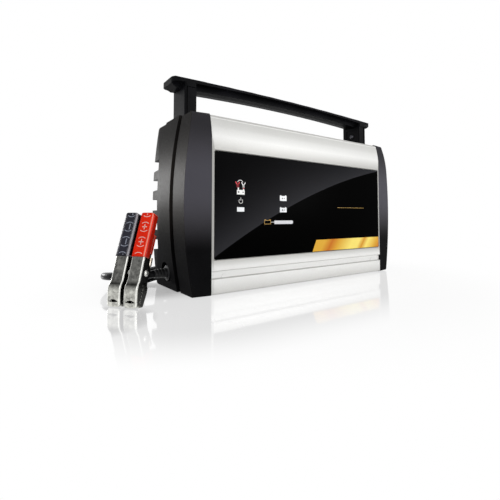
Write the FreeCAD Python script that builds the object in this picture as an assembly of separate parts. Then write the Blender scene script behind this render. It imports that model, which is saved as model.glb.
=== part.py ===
import FreeCAD, Part
import os
from math import acos, asin, cos, degrees, floor, pi, radians, sin, sqrt, tan

# Car battery charger: a case of two covers between two moulded end caps, a carry handle on the caps,
# a charging circuit inside, and a DC cable that ends in two spring clamps.
# Millimetres. X runs along the case, Y from its front to its back, Z up from the floor.
# The origin is under the middle of the case, on the floor.

V = FreeCAD.Vector
os.makedirs("parts", exist_ok=True)

# Overall sizes of the case
cover_length = 282.0
case_height = 190.0
case_depth = 105.0
foot_height = 1.0
running_gap = 0.3

# Front and rear covers
wall = 2.0
cover_drop = 1.3
cover_bottom = 1.5
cover_corner = 2.2
parting_depth = 36.0
channel_low = 17.3
channel_width = 8.6
channel_depth = 2.5
channel_slope = 1.0
label_low = 37.0
label_margin_top = 40.0
label_margin_end = 3.0
label_recess = 1.2
label_lip = 0.8
label_thickness = 0.9
label_gap = 0.2
label_corner = 1.5
lens_gap = 0.05
band_setback = 4.5
band_round = 3.8
cover_end_chamfer = 2.5
cover_end_setback = 0.8
cover_end_slope = 1.12
rear_corner_round = 4.0
rear_setback = 0.8
louvre_rows = 8
louvre_pitch = 9.0
louvre_length = 62.0
louvre_width = 3.4

# End caps
side_reach = 30.5
side_drop = 10.0
front_strip_inset = 1.5
groove_start = 33.0
groove_width = 5.5
groove_depth = 4.0
bevel_setback = 4.2
taper_start = 60.0
taper = 5.2
taper_drop = 6.5
seat_rise = 2.0
seat_length = 37.5
rear_top_chamfer = 1.5
cap_wall = 2.5
vent_count = 5
vent_pitch = 23.4
vent_height = 13.0
vent_depth = 27.0
vent_step = 4.0
vent_reach = 13.0
vent_slit = 3.0
vent_top_margin = 48.0
groove_to_vent = 14.0

# Feet
foot_radius = 6.0
foot_stem_radius = 2.5
foot_stem = 4.0
foot_x_inset = 10.0
foot_y = 38.0

# Carry handle
handle_height = 46.4
handle_depth = 36.0
handle_setback = 34.0
handle_overhang = 29.0
grip_corner = 8.0
grip_top_drop = 2.9
grip_belly_drop = 3.5
grip_lip = 3.0
grip_belly = 8.7
post_inner = 1.0
post_width = 14.5
post_depth = 34.0
post_wall = 3.0
post_rim = 2.0
post_groove = 1.3
post_recess = 1.0
post_corner = 2.5
post_top_step = 11.5
grip_edge = 2.0
grip_end_lift = 7.6
grip_lift_start = 16.0
spigot_height = 30.0
spigot_length = 25.0
spigot_wall = 1.8
spigot_corner = 1.5
screw_height = 20.7
screw_shank = 9.0
screw_radius = 1.9
screw_head_radius = 3.7
screw_head = 1.9

# Screws of the rear cover
boss_x_inset = 17.0
boss_z_inset = 18.0
boss_radius = 4.5
tube_radius = 6.0
counterbore_radius = 3.8
case_screw_radius = 1.5
case_screw_head_radius = 3.4
case_screw_head = 2.4
case_screw_length = 16.0
tube_floor = 4.0

# Cable entries
gland_y = 9.5
gland_z = 18.7
recess_radius = 12.0
recess_reach = 22.0
ring_radius = 8.6
ring_thickness = 2.4
relief_length = 16.0
relief_start_wall = 1.6
relief_end_wall = 0.6
relief_rib = 0.35
relief_pitch = 3.4
relief_flange_radius = 8.2
entry_gap = 0.4
bushing_flange = 2.0
bushing_bore = 3.9
bushing_length = 13.0

# DC cable, its coil, the splitter and the leads to the clamps
cable_diameter = 8.0
lead_diameter = 5.0
coil_turns = 3.5
coil_outer_radius = 50.0
turn_gap = 0.8
coil_center = V(-55.0, 114.5, 0.0)
stub_length = 8.0
tie_width = 8.0
tie_thickness = 0.7
tie_gap = 0.3
splitter_length = 26.0
coil_pitch = cable_diameter + turn_gap
coil_rest = cable_diameter / 2 + tie_gap + tie_thickness
relief_start_radius = cable_diameter / 2 + relief_start_wall
relief_end_radius = cable_diameter / 2 + relief_end_wall
entry_radius = relief_start_radius + entry_gap

cable_route = [
    V(-179.0, 9.5, 18.7), V(-190.0, 9.5, 18.7), V(-207.0, 15.0, 18.0), V(-219.0, 28.5, 17.0),
    V(-222.8, 46.0, 15.3), V(-217.3, 63.5, 12.8), V(-203.0, 81.0, 9.2), V(-184.5, 99.0, 5.4),
    V(-165.0, 116.0, 4.0), V(-143.5, 132.5, 4.0), V(-120.5, 147.5, 4.0), V(-97.5, 159.5, 4.3),
    V(-79.5, 164.5, 5.0), V(-63.0, 164.5, 5.0)]
tail_route = [
    V(-63.0, 64.5, 13.8), V(-78.0, 64.5, 13.8), V(-94.0, 64.5, 8.4), V(-109.0, 64.5, 5.0),
    V(-122.0, 64.5, 5.0)]
black_lead_route = [
    V(-148.0, 68.0, 5.0), V(-158.0, 68.0, 5.0), V(-170.5, 66.5, 2.8), V(-183.0, 61.5, 2.5),
    V(-193.5, 52.5, 2.5), V(-200.5, 41.0, 2.5), V(-204.5, 28.2, 2.5), V(-207.8, 15.2, 2.5),
    V(-210.9, 2.9, 2.5), V(-213.3, -9.5, 2.5), V(-214.3, -19.5, 10.0), V(-214.7, -23.1, 22.0),
    V(-211.4, -20.5, 33.5)]
red_lead_route = [
    V(-148.0, 61.0, 5.0), V(-157.5, 61.0, 5.0), V(-169.5, 59.0, 2.8), V(-180.0, 52.5, 2.5),
    V(-187.0, 41.5, 2.5), V(-190.8, 28.5, 2.5), V(-193.8, 15.0, 2.5), V(-197.0, 2.0, 2.5),
    V(-200.2, -10.8, 2.5), V(-202.6, -23.2, 2.5), V(-203.6, -33.2, 10.0), V(-204.0, -36.8, 22.0),
    V(-200.7, -34.2, 33.5)]

# Battery clamps: a is across the clamp, d from its front to its back, s up from the tip
clamp_place = V(-230.3, -35.3, 0.0)
clamp_turn = -51.9
clamp_lean = 20.0
clamp_spacing = 3.6
clamp_length = 88.0
clamp_sheet = 1.2
clamp_round = 1.8
clamp_width = 13.8
jaw_flare = 0.2
jaw_top = 18.0
ear_gap = 0.35
rear_handle_step = 0.75
pivot_d = 0.5
pivot_s = 31.5
rivet_radius = 1.6
rivet_head_radius = 3.1
rivet_head = 1.1
rivet_gap = 0.05
ear_radius = 6.4
sleeve_start = 45.0
rear_sleeve_start = 50.5
rear_length = 70.0
sleeve_wall = 0.8
rear_sleeve_wall = 0.6
sleeve_cap = 1.4
sleeve_gap = 0.03
handle_flange = 6.3
rear_handle_flange = 4.2
tooth_count = 5
tooth_pitch = 3.0
tooth_height = 1.5
jaw_gap = 1.0
tip_gap = 0.6
front_tip_lift = 0.5
toe_corner = 4.0
slot_half = 5.0
slot_level = 4.2
spring_wire = 1.2
spring_radius = 2.7
spring_pitch = 1.75
spring_side_gap = 0.4875
spring_splay = 25.0
spring_seat = 0.05
lug_start = 40.0
lug_length = 8.0
lug_radius = 3.3
lug_wall = 0.8

# Parts inside the case
tray_thickness = 1.5
tray_rise = 14.0
board_thickness = 1.6
standoff_height = 9.0
standoff_radius = 3.0
board_from_end = 30.0
board_to_core = 8.0
main_board_width = 62.0
board_hole_inset = 5.0
core_length = 66.0
core_stack = 32.0
core_leg = 11.0
core_window_height = 33.0
core_from_end = 77.0
coil_clearance = 0.4
sink_length = 46.0
sink_height = 44.0
sink_fins = 7
choke_radius = 12.0
choke_break = 2.0
led_radius = 1.5
led_flange_radius = 1.9
display_board_length = 118.0
display_board_height = 66.0

# Derived places
half = cover_length / 2
front = -case_depth / 2
rear = case_depth / 2
mid_height = case_height / 2
cap_bottom = foot_height
cover_top = case_height - cover_drop
label_top = case_height - label_margin_top
label_half = half - label_margin_end
parting = front + parting_depth
channel_high = channel_low + channel_width
side_radius = (mid_height ** 2 + side_drop ** 2) / (2 * side_drop)
handle_base = case_height + seat_rise
handle_top = case_height + handle_height
grip_half = half + handle_overhang
inner_rear = rear - rear_setback - wall
inner_floor = cover_bottom + wall
boss_x = half - boss_x_inset
boss_levels = (boss_z_inset, case_height - boss_z_inset)
jaw_width = clamp_width + 2 * jaw_flare
clamp_pitch = clamp_width + clamp_spacing
rear_ear_width = clamp_width - 2 * (clamp_sheet + ear_gap)
rear_handle_width = rear_ear_width - 2 * rear_handle_step
spring_room = rear_ear_width - 2 * (clamp_sheet + spring_side_gap) - spring_wire
spring_turns = floor(spring_room / spring_pitch - 0.5 + 1e-6) + 0.5
core_x = core_from_end - half
core_height = core_window_height + 2 * core_leg


def on_front(y):
    """Outline plane that faces the front: u is X, v is Z."""
    return lambda u, v: V(u, y, v)


def on_side(x):
    """Outline plane that faces the side: u is Y, v is Z."""
    return lambda u, v: V(x, u, v)


def on_plan(z):
    """Outline plane seen from above: u is X, v is Y."""
    return lambda u, v: V(u, v, z)


def outline(place, *points):
    """Closed face. A third number in a point is how far the stretch that reaches it bulges to its right.

    The first point may be repeated at the end, so that the closing stretch can bulge too.
    """
    if points[0][:2] == points[-1][:2]:
        points = points[-1:] + points[1:-1]
    edges = []
    for here, there in zip((points[-1],) + points[:-1], points):
        start = place(here[0], here[1])
        end = place(there[0], there[1])
        if len(there) == 2:
            edges.append(Part.LineSegment(start, end).toShape())
            continue
        du = there[0] - here[0]
        dv = there[1] - here[1]
        share = there[2] / sqrt(du * du + dv * dv)
        middle = place((here[0] + there[0]) / 2 + dv * share, (here[1] + there[1]) / 2 - du * share)
        edges.append(Part.Arc(start, middle, end).toShape())
    return Part.Face(Part.Wire(edges))


def quarter(radius):
    """Bulge of a quarter turn of this radius."""
    return radius * (1 - sqrt(0.5))


def prism(place, along, *points):
    return outline(place, *points).extrude(along)


def block(x0, x1, y0, y1, z0, z1):
    return Part.makeBox(x1 - x0, y1 - y0, z1 - z0, V(x0, y0, z0))


def pillar(x0, x1, y0, y1, z0, z1, radius):
    """Block with round upright corners."""
    bulge = quarter(radius)
    return prism(on_plan(z0), V(0, 0, z1 - z0),
                 (x0 + radius, y0), (x1 - radius, y0), (x1, y0 + radius, bulge),
                 (x1, y1 - radius), (x1 - radius, y1, bulge), (x0 + radius, y1),
                 (x0, y1 - radius, bulge), (x0, y0 + radius), (x0 + radius, y0, bulge))


def rod(radius, start, end):
    return Part.makeCylinder(radius, (end - start).Length, start, end - start)


def turned(base, along, *profile):
    """Solid of revolution about the line from base along a direction. Points are (distance, radius)."""
    along = V(along).normalize()
    across = along.cross(V(0, 0, 1) if abs(along.z) < 0.9 else V(1, 0, 0)).normalize()
    points = [base + along * distance + across * radius for distance, radius in profile]
    face = Part.Face(Part.makePolygon(points + points[:1]))
    return face.revolve(base, along, 360)


def mirrored(shape):
    return shape.mirror(V(0, 0, 0), V(1, 0, 0))


def both_sides(shape):
    return [shape, mirrored(shape)]


def fuse(first, *others):
    return first.fuse(list(others)).removeSplitter()


def save(name, *solids):
    """Write one node, which may be a group of separate solids."""
    shape = solids[0] if len(solids) == 1 else Part.makeCompound(list(solids))
    shape.exportStep("parts/" + name + ".step")
    return shape


# Front cover: one moulded profile with a channel, a recess for the label and a band that leans back
def band_bulge():
    rise = cover_top - band_round - label_top
    chord = sqrt(rise ** 2 + band_setback ** 2)
    radius = chord ** 2 / (2 * band_setback)
    return radius - sqrt(radius ** 2 - (chord / 2) ** 2)


def front_cover():
    corner = cover_corner
    band_top = cover_top - band_round
    step = wall + channel_depth
    outer = prism(on_side(-half), V(cover_length, 0, 0),
                  (parting, cover_top), (front + band_setback + band_round, cover_top),
                  (front + band_setback, band_top, quarter(band_round)),
                  (front, label_top, band_bulge()),
                  (front, channel_high), (front + channel_depth, channel_high - channel_slope),
                  (front + channel_depth, channel_low + channel_slope), (front, channel_low),
                  (front, cover_bottom + corner), (front + corner, cover_bottom, quarter(corner)),
                  (parting, cover_bottom))
    inner = prism(on_side(-half - 1), V(cover_length + 2, 0, 0),
                  (parting + 1, cover_top - wall), (front + band_setback + wall + 2, cover_top - wall),
                  (front + label_recess + wall, label_top),
                  (front + label_recess + wall, channel_high + wall), (front + step, channel_high + wall),
                  (front + step, inner_floor), (parting + 1, inner_floor))
    shell = outer.cut(inner)
    floor = front + label_recess
    rims = []
    for y, grow in ((front - 0.4, label_lip * 1.33), (floor, 0.0)):
        x = label_half + grow
        rims.append(Part.makePolygon([V(-x, y, label_low - grow), V(x, y, label_low - grow),
                                      V(x, y, label_top + grow), V(-x, y, label_top + grow),
                                      V(-x, y, label_low - grow)]))
    shell = shell.cut(Part.makeLoft(rims, True, True))
    tall = V(0, 0, case_height)
    chamfer = prism(on_plan(0), tall, (half + 1, front - 1), (half + 1, front + cover_end_slope),
                    (half - cover_end_chamfer, front), (half - cover_end_chamfer, front - 1))
    shell = shell.cut(both_sides(chamfer))
    bosses = []
    for z in boss_levels:
        boss = rod(boss_radius, V(boss_x, front + label_recess + wall / 2, z), V(boss_x, parting, z))
        hole = rod(case_screw_radius, V(boss_x, parting - case_screw_length, z), V(boss_x, parting + 1, z))
        bosses += both_sides(boss.cut(hole))
    return fuse(shell, *bosses)


# Indicator windows: left end and low edge from the label's lower left corner, then width and height
window_sizes = [(27.3, 49.7, 9.5, 4.8), (86.9, 49.4, 10.5, 5.4), (86.9, 62.8, 10.5, 6.0)]


def windows(y0, y1, gap):
    """The indicator windows as solids, narrowed on every side by a gap."""
    cells = []
    for left, low, width, height in window_sizes:
        x = left - label_half
        z = low + label_low
        cells.append(block(x + gap, x + width - gap, y0, y1, z + gap, z + height - gap))
    return cells


def label_panel():
    corner = label_corner
    x = label_half - label_gap
    low = label_low + label_gap
    high = label_top - label_gap
    back = front + label_recess
    bulge = quarter(corner)
    sheet = prism(on_front(back - label_thickness), V(0, label_thickness, 0),
                  (-x + corner, low), (x - corner, low), (x, low + corner, bulge), (x, high - corner),
                  (x - corner, high, bulge), (-x + corner, high), (-x, high - corner, bulge),
                  (-x, low + corner), (-x + corner, low, bulge))
    return sheet.cut(windows(back - 2, back + 1, 0.0))


def louvre(x, z):
    """Slot with round ends through the rear wall."""
    radius = louvre_width / 2
    reach = louvre_length / 2 - radius
    return prism(on_front(inner_rear - 1), V(0, wall + 3, 0),
                 (x - reach, z - radius), (x + reach, z - radius), (x + reach, z + radius, radius),
                 (x - reach, z + radius), (x - reach, z - radius, radius))


def rear_cover():
    back = rear - rear_setback
    corner = rear_corner_round
    inner_corner = corner - wall
    outer = prism(on_side(-half), V(cover_length, 0, 0),
                  (parting, cover_bottom), (back - corner, cover_bottom),
                  (back, cover_bottom + corner, quarter(corner)), (back, cover_top - corner),
                  (back - corner, cover_top, quarter(corner)), (parting, cover_top))
    inner = prism(on_side(-half - 1), V(cover_length + 2, 0, 0),
                  (parting - 1, inner_floor), (inner_rear - inner_corner, inner_floor),
                  (inner_rear, inner_floor + inner_corner, quarter(inner_corner)),
                  (inner_rear, cover_top - wall - inner_corner),
                  (inner_rear - inner_corner, cover_top - wall, quarter(inner_corner)),
                  (parting - 1, cover_top - wall))
    shell = outer.cut(inner)
    tubes = []
    bores = []
    for z in boss_levels:
        for x in (-boss_x, boss_x):
            tubes.append(rod(tube_radius, V(x, parting, z), V(x, inner_rear + wall / 2, z)))
            bores.append(rod(counterbore_radius, V(x, parting + tube_floor, z), V(x, rear + 1, z)))
            bores.append(rod(case_screw_radius + running_gap, V(x, parting - 1, z), V(x, rear, z)))
    shell = fuse(shell, *tubes)
    lowest = mid_height - (louvre_rows - 1) * louvre_pitch / 2
    for row in range(louvre_rows):
        for side in (-1, 1):
            bores.append(louvre(side * cover_length / 4, lowest + row * louvre_pitch))
    return shell.cut(bores)


def case_screws():
    screws = []
    seat = parting + tube_floor
    for z in boss_levels:
        screw = turned(V(boss_x, seat, z), V(0, -1, 0),
                       (-case_screw_head, 0), (-case_screw_head, case_screw_head_radius * 0.7),
                       (-case_screw_head * 0.5, case_screw_head_radius), (0, case_screw_head_radius),
                       (0, case_screw_radius), (case_screw_length, case_screw_radius),
                       (case_screw_length + 2, 0))
        screws += both_sides(screw)
    return screws


# End caps: the side is an arc seen from the front, cut back behind a groove and tapered to the rear
def side_x(z, inset):
    """X of the cap's side at a height, this far inside its widest surface."""
    radius = side_radius - inset
    return half + side_reach - side_radius + sqrt(radius ** 2 - (z - mid_height) ** 2)


def cap_slice(inset, low, high, y0, y1, start=0.0):
    """Stretch of the cap between two depths, from the cover's end outwards."""
    rise = high - low
    chord = sqrt(rise ** 2 + (side_x(high, inset) - side_x(low, inset)) ** 2)
    radius = side_radius - inset
    bulge = radius - sqrt(radius ** 2 - (chord / 2) ** 2)
    return prism(on_front(y0), V(0, y1 - y0, 0),
                 (half + start, low), (side_x(low, inset), low), (side_x(high, inset), high, bulge),
                 (half + start, high))


def taper_solid(inset, y0, y1):
    """Everything inside the side that draws in towards the rear: in plan an arc, and less crowned."""
    widest = half + side_reach - inset
    begin = front + taper_start
    length = rear - begin
    plan_radius = (length ** 2 + taper ** 2) / (2 * taper) - inset
    crown = (mid_height ** 2 + taper_drop ** 2) / (2 * taper_drop)
    low = -10.0
    high = case_height + 10.0
    edge = widest - crown + sqrt(crown ** 2 - (high - mid_height) ** 2)
    face = outline(on_front(begin), (half - 30, low), (edge, low), (edge, high, widest - edge),
                   (half - 30, high))
    turned_side = face.revolve(V(widest - plan_radius, begin, 0), V(0, 0, 1), 25)
    ahead = block(half - 30, widest + 5, y0, begin, low, high)
    behind = block(half - 30, widest + 5, begin, y1, low, high)
    return fuse(ahead, turned_side.common(behind))


def vent_wedge(z, grow):
    """Wedge across the rear corner at this height, this much larger all round."""
    outside = half + side_reach
    low = z - vent_height / 2 - grow
    return prism(on_plan(low), V(0, 0, vent_height + 2 * grow),
                 (outside + 5, rear - vent_depth - grow),
                 (outside - vent_step - grow, rear - vent_depth - grow),
                 (outside - vent_reach - grow, rear + 2), (outside + 5, rear + 2))


def front_prism():
    """Everything behind the front of the cap, which follows the cover's profile and slopes back outwards."""
    corner = cover_corner
    run = side_reach + 4
    start = front + cover_end_setback
    band_top = case_height - band_round
    far = rear + 60
    face = outline(on_side(half), (far, case_height + 20),
                   (start + band_setback + band_round, case_height + 20),
                   (start + band_setback + band_round, case_height),
                   (start + band_setback, band_top, quarter(band_round)),
                   (start, label_top, band_bulge()), (start, cap_bottom + corner),
                   (start + corner, cap_bottom, quarter(corner)), (far, cap_bottom))
    return face.extrude(V(run, bevel_setback * run / side_reach, 0))


def end_cap():
    """The right-hand cap."""
    strip_end = front + groove_start
    groove_end = strip_end + groove_width
    seat_end = groove_end + seat_length
    groove_inset = front_strip_inset + groove_depth
    top = case_height
    outer = fuse(cap_slice(front_strip_inset, cap_bottom, top, front - 2, strip_end),
                 cap_slice(groove_inset, cap_bottom, top - groove_depth, strip_end, groove_end),
                 cap_slice(0.0, cap_bottom, top, groove_end, rear),
                 cap_slice(0.0, cap_bottom, top + seat_rise, groove_end, seat_end))
    outer = outer.common(front_prism())
    outer = outer.common(taper_solid(0.0, front - 10, rear))
    chamfer = rear_top_chamfer
    outer = outer.cut(prism(on_side(half - 1), V(side_reach + 4, 0, 0),
                            (rear - chamfer, top), (rear + 1, top - chamfer - 1), (rear + 1, top + 1),
                            (rear - chamfer, top + 1)))
    low = cap_bottom + cap_wall
    inset = groove_inset + cap_wall
    hollow = fuse(cap_slice(front_strip_inset + cap_wall, low, top - cap_wall - 2, front + 9,
                            strip_end - cap_wall),
                  cap_slice(inset, low, top - groove_depth - cap_wall, strip_end - cap_wall - 1,
                            groove_end + cap_wall + 1),
                  cap_slice(cap_wall + 1, low, top - cap_wall, groove_end + cap_wall, rear - cap_wall - 3))
    hollow = hollow.common(taper_solid(cap_wall + 1, front - 10, rear - cap_wall))
    hollow = hollow.fuse(cap_slice(inset, low, top - groove_depth - cap_wall, front + 12,
                                   rear - groove_to_vent, -5.0))
    vent_levels = [case_height - vent_top_margin - row * vent_pitch for row in range(vent_count)]
    shell = outer.cut(hollow.cut([vent_wedge(z, cap_wall) for z in vent_levels]))
    spigot_x = half + post_inner + post_wall + running_gap
    spigot_y = front + handle_setback + post_wall + running_gap
    spigot_width = post_width - 2 * (post_wall + running_gap)
    spigot_end = groove_end + spigot_length
    spigot = pillar(spigot_x, spigot_x + spigot_width, groove_end, spigot_end,
                    top, handle_base + spigot_height, spigot_corner)
    bore = pillar(spigot_x + spigot_wall, spigot_x + spigot_width - spigot_wall, groove_end + 2, spigot_end - 2,
                  top - 1, handle_base + spigot_height - 3, 1.0)
    shell = fuse(shell, spigot.common(block(0, half + 60, spigot_y, rear, 0, top + 100))).cut(bore)
    height = screw_level()
    cuts = [rod(screw_radius, V(half, post_center_y(), height),
                V(spigot_x + spigot_width + 1, post_center_y(), height))]
    for z in vent_levels:
        cuts.append(vent_wedge(z, 0.0))
        cuts.append(block(half + side_reach - vent_reach - 5, half + side_reach,
                          rear - vent_depth + 5, rear - 6, z - vent_slit / 2, z + vent_slit / 2))
    floor_x = half + recess_reach
    cuts.append(rod(recess_radius, V(floor_x, gland_y, gland_z), V(floor_x + 20, gland_y, gland_z)))
    cuts.append(rod(entry_radius + 0.05, V(half, gland_y, gland_z), V(floor_x + 5, gland_y, gland_z)))
    for y in (-foot_y, foot_y):
        cuts.append(rod(foot_stem_radius, V(half + foot_x_inset, y, 0), V(half + foot_x_inset, y, low + 1)))
    return shell.cut(cuts)


def post_center_y():
    """Depth of the handle screws, a little ahead of the post's middle."""
    return front + handle_setback + post_depth / 2 - 1


def screw_level():
    """Height of the handle screws."""
    return case_height + screw_height


def feet():
    pads = []
    for y in (-foot_y, foot_y):
        pad = turned(V(half + foot_x_inset, y, 0), V(0, 0, 1),
                     (0, 0), (0, foot_radius), (foot_height, foot_radius), (foot_height, foot_stem_radius),
                     (foot_height + foot_stem, foot_stem_radius), (foot_height + foot_stem, 0))
        pads += both_sides(pad)
    return pads


# Carry handle: an arched grip plate with a crowned belly on two hollow posts
def arched(drop, reach, low, *profile):
    """A Y-Z profile swept over an arch that falls by drop at this reach from the middle."""
    radius = (reach ** 2 + drop ** 2) / (2 * drop)
    angle = degrees(asin((grip_half + 2) / radius))
    axis = V(0, 0, low - radius)
    face = outline(on_side(0), *profile)
    face.rotate(axis, V(0, 1, 0), -angle)
    return face.revolve(axis, V(0, 1, 0), 2 * angle)


def handle():
    y0 = front + handle_setback
    y1 = y0 + handle_depth
    middle = (y0 + y1) / 2
    top = handle_top
    lip = top - grip_lip
    belly = top - grip_belly
    post_reach = half - 3
    crown = arched(grip_top_drop, grip_half, top,
                   (y0, top - 40), (y1, top - 40), (y1, top - grip_edge),
                   (y1 - grip_edge, top, quarter(grip_edge)), (y0 + grip_edge, top),
                   (y0, top - grip_edge, quarter(grip_edge)))
    under = arched(grip_belly_drop, post_reach, belly,
                   (y0 - 1, lip), (y0 + 2.5, lip), (y0 + 9, belly + 0.6, -1.6), (middle, belly),
                   (y1 - 9, belly + 0.6), (y1 - 2.5, lip, -1.6), (y1 + 1, lip), (y1 + 1, top + 30),
                   (y0 - 1, top + 30))
    plan = pillar(-grip_half, grip_half, y0, y1, top - 60, top + 20, grip_corner)
    grip = crown.common(under).common(plan)
    lift = prism(on_front(y0 - 5), V(0, handle_depth + 10, 0),
                 (half + post_inner + post_width, top - grip_lift_start), (grip_half + 3, top - grip_end_lift),
                 (grip_half + 3, top - 40),
                 (half + post_inner + post_width, top - 40))
    for side in both_sides(lift):
        grip = grip.cut(side)
    x0 = half + post_inner
    x1 = x0 + post_width
    post_rear = y0 + post_depth
    post = pillar(x0, x1, y0, post_rear, handle_base, lip - 2.5, post_corner)
    step = top - post_top_step
    facing = [block(x0 - 1, x1 - post_rim, y0 - 1, y0 + post_recess, handle_base - 1, step),
              block(x1 - post_rim - post_groove, x1 - post_rim, y0 - 1, y0 + post_recess + 1.5,
                    handle_base - 1, step),
              block(x0 - 1, x0 + 0.8, y0 + 3.5, post_rear - 8.0, handle_base + 3, top - 16)]
    hollow = pillar(x0 + post_wall, x1 - post_wall, y0 + post_wall, post_rear - post_wall,
                    handle_base - 1, handle_base + spigot_height + 1.5, 1.8)
    height = screw_level()
    hole = rod(screw_radius, V(x0 - 1, post_center_y(), height),
               V(x0 + post_wall + 1, post_center_y(), height))
    posts = both_sides(post.cut(facing).cut(hollow).cut(hole))
    return fuse(grip, *posts)


def handle_screws():
    height = screw_level()
    seat = half + post_inner + 0.8
    y = post_center_y()
    screw = turned(V(seat, y, height), V(1, 0, 0),
                   (-screw_head, 0), (-screw_head, screw_head_radius * 0.6),
                   (-screw_head * 0.55, screw_head_radius * 0.93), (0, screw_head_radius), (0, screw_radius),
                   (screw_shank, screw_radius), (screw_shank + 1.5, 0))
    cross = []
    for wide, tall in ((0.5, 2.2), (2.2, 0.5)):
        cross.append(block(seat - screw_head - 1, seat - screw_head + 0.9, y - wide, y + wide,
                           height - tall, height + tall))
    return both_sides(screw.cut(cross))


# Cable entries: a collared strain relief on the left, a bushing on the right
def dc_gland_ring():
    seat = V(-half - recess_reach, gland_y, gland_z)
    bore = entry_radius + 0.1
    return turned(seat, V(-1, 0, 0), (0, bore), (0, ring_radius), (ring_thickness * 0.6, ring_radius),
                  (ring_thickness, ring_radius - 1.0), (ring_thickness, bore))


def dc_strain_relief():
    seat = V(-half - recess_reach, gland_y, gland_z)
    flange = relief_flange_radius
    profile = [(-11.0, 0), (-11.0, flange), (-6.9, flange), (-6.9, entry_radius), (ring_thickness, entry_radius),
               (ring_thickness, relief_start_radius)]
    for count in range(3):
        at = 2 * ring_thickness + relief_pitch * count
        radius = relief_start_radius - (relief_start_radius - relief_end_radius) * at / relief_length
        valley = radius - relief_rib
        profile += [(at, radius), (at + 0.3, valley), (at + 1.3, valley), (at + 1.6, radius - 0.1)]
    profile += [(relief_length - 0.6, relief_end_radius), (relief_length, relief_end_radius - 0.4),
                (relief_length, 0)]
    return turned(seat, V(-1, 0, 0), *profile)


def ac_bushing():
    seat = V(half + recess_reach, gland_y, gland_z)
    inner = bushing_flange - bushing_length
    return turned(seat, V(1, 0, 0), (bushing_flange, bushing_bore), (inner, bushing_bore), (inner, 7.0),
                  (inner + 2.0, 7.0), (inner + 3.5, entry_radius), (0, entry_radius), (0, ring_radius),
                  (bushing_flange * 0.5, ring_radius), (bushing_flange, ring_radius - 1.0))


# Cords: straight runs joined by the largest tangent arcs that fit
def cord_path(name, points):
    edges = []
    radii = []
    start = points[0]
    for before, corner, after in zip(points, points[1:], points[2:]):
        run_in = corner - before
        run_out = after - corner
        turn = run_in.getAngle(run_out)
        trim = 0.45 * min(run_in.Length, run_out.Length)
        radius = trim / tan(turn / 2)
        run_in.normalize()
        run_out.normalize()
        enter = corner - run_in * trim
        leave = corner + run_out * trim
        inward = (run_out - run_in).normalize()
        middle = corner + inward * (radius / cos(turn / 2) - radius)
        edges.append(Part.LineSegment(start, enter).toShape())
        edges.append(Part.Arc(enter, middle, leave).toShape())
        radii.append(round(radius, 1))
        start = leave
    edges.append(Part.LineSegment(start, points[-1]).toShape())
    print(name, "bend radii", radii)
    return Part.Wire(edges)


def tube(name, path, diameter, start, heading):
    """Round tube along a path, with its volume compared with its section times its length."""
    circle = Part.Wire(Part.makeCircle(diameter / 2, start, heading))
    shape = path.makePipeShell([circle], True, False)
    share = shape.Volume / (pi * diameter ** 2 / 4 * path.Length)
    print(name, "length", round(path.Length, 1), "volume share", round(share, 4))
    return shape


def cord(name, points, diameter):
    return tube(name, cord_path(name, points), diameter, points[0], points[1] - points[0])


def arc_from(start, heading, end):
    """Arc that leaves start along heading and reaches end."""
    chord = end - start
    along = V(chord).normalize()
    side = heading - along * heading.dot(along)
    if side.Length < 1e-6:
        return Part.LineSegment(start, end).toShape()
    angle = acos(max(-1.0, min(1.0, heading.dot(along))))
    middle = start + chord * 0.5 + side.normalize() * (chord.Length / 2 * tan(angle / 2))
    return Part.Arc(start, middle, end).toShape()


def biarc(start, heading, end, final):
    """Two tangent arcs from one point and heading to another."""
    gap = end - start
    both = heading + final
    slack = 2 * (1 - heading.dot(final))
    reach = gap.dot(both)
    if slack < 1e-9:
        size = gap.dot(gap) / (2 * reach)
    else:
        size = (sqrt(reach ** 2 + slack * gap.dot(gap)) - reach) / slack
    middle = (start + heading * size + end - final * size) * 0.5
    first = arc_from(start, heading, middle)
    second = arc_from(end, V(0, 0, 0) - final, middle)
    return [first, second]


def wound(points, headings, lead_in, lead_out):
    """Path with straight ends that passes through the points with the given headings."""
    edges = [Part.LineSegment(points[0] - headings[0] * lead_in, points[0]).toShape()]
    for start, heading, end, final in zip(points, headings, points[1:], headings[1:]):
        edges += biarc(start, heading, end, final)
    edges.append(Part.LineSegment(points[-1], points[-1] + headings[-1] * lead_out).toShape())
    return Part.Wire(Part.sortEdges(edges)[0])


def least_gap(path, diameter):
    """Least clear distance between stretches of the path that aren't neighbours."""
    steps = int(path.Length / (diameter * 0.5))
    points = path.discretize(steps)
    near = int(pi * diameter / (path.Length / steps)) + 1
    best = 1e9
    for index, point in enumerate(points):
        for other in points[index + near:]:
            best = min(best, point.distanceToPoint(other))
    return best - diameter


def coil_point(angle):
    """Place and heading on the coil at an angle clockwise from its far side."""
    whole = 2 * pi * coil_turns
    spread = min(angle, whole - angle)
    radius = coil_outer_radius - coil_pitch * spread / (2 * pi)
    half_turn = (angle - (whole - pi) / 2) / pi
    climb = max(0.0, min(1.0, half_turn))
    height = coil_rest + coil_pitch * climb * climb * (3 - 2 * climb)
    return coil_center + V(radius * sin(angle), radius * cos(angle), height)


def cable_coil():
    half_turns = int(round(coil_turns * 2))
    points = []
    headings = []
    for index in range(half_turns + 1):
        angle = index * pi
        points.append(coil_point(angle))
        if index in (0, half_turns):
            headings.append(V(cos(angle), -sin(angle), 0).normalize())
        else:
            headings.append((coil_point(angle + 0.02) - coil_point(angle - 0.02)).normalize())
    path = wound(points, headings, stub_length, stub_length)
    print("dc_cord_coil least gap to itself", round(least_gap(path, cable_diameter), 2))
    start = points[0] - headings[0] * stub_length
    return path, tube("dc_cord_coil", path, cable_diameter, start, headings[0])


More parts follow.
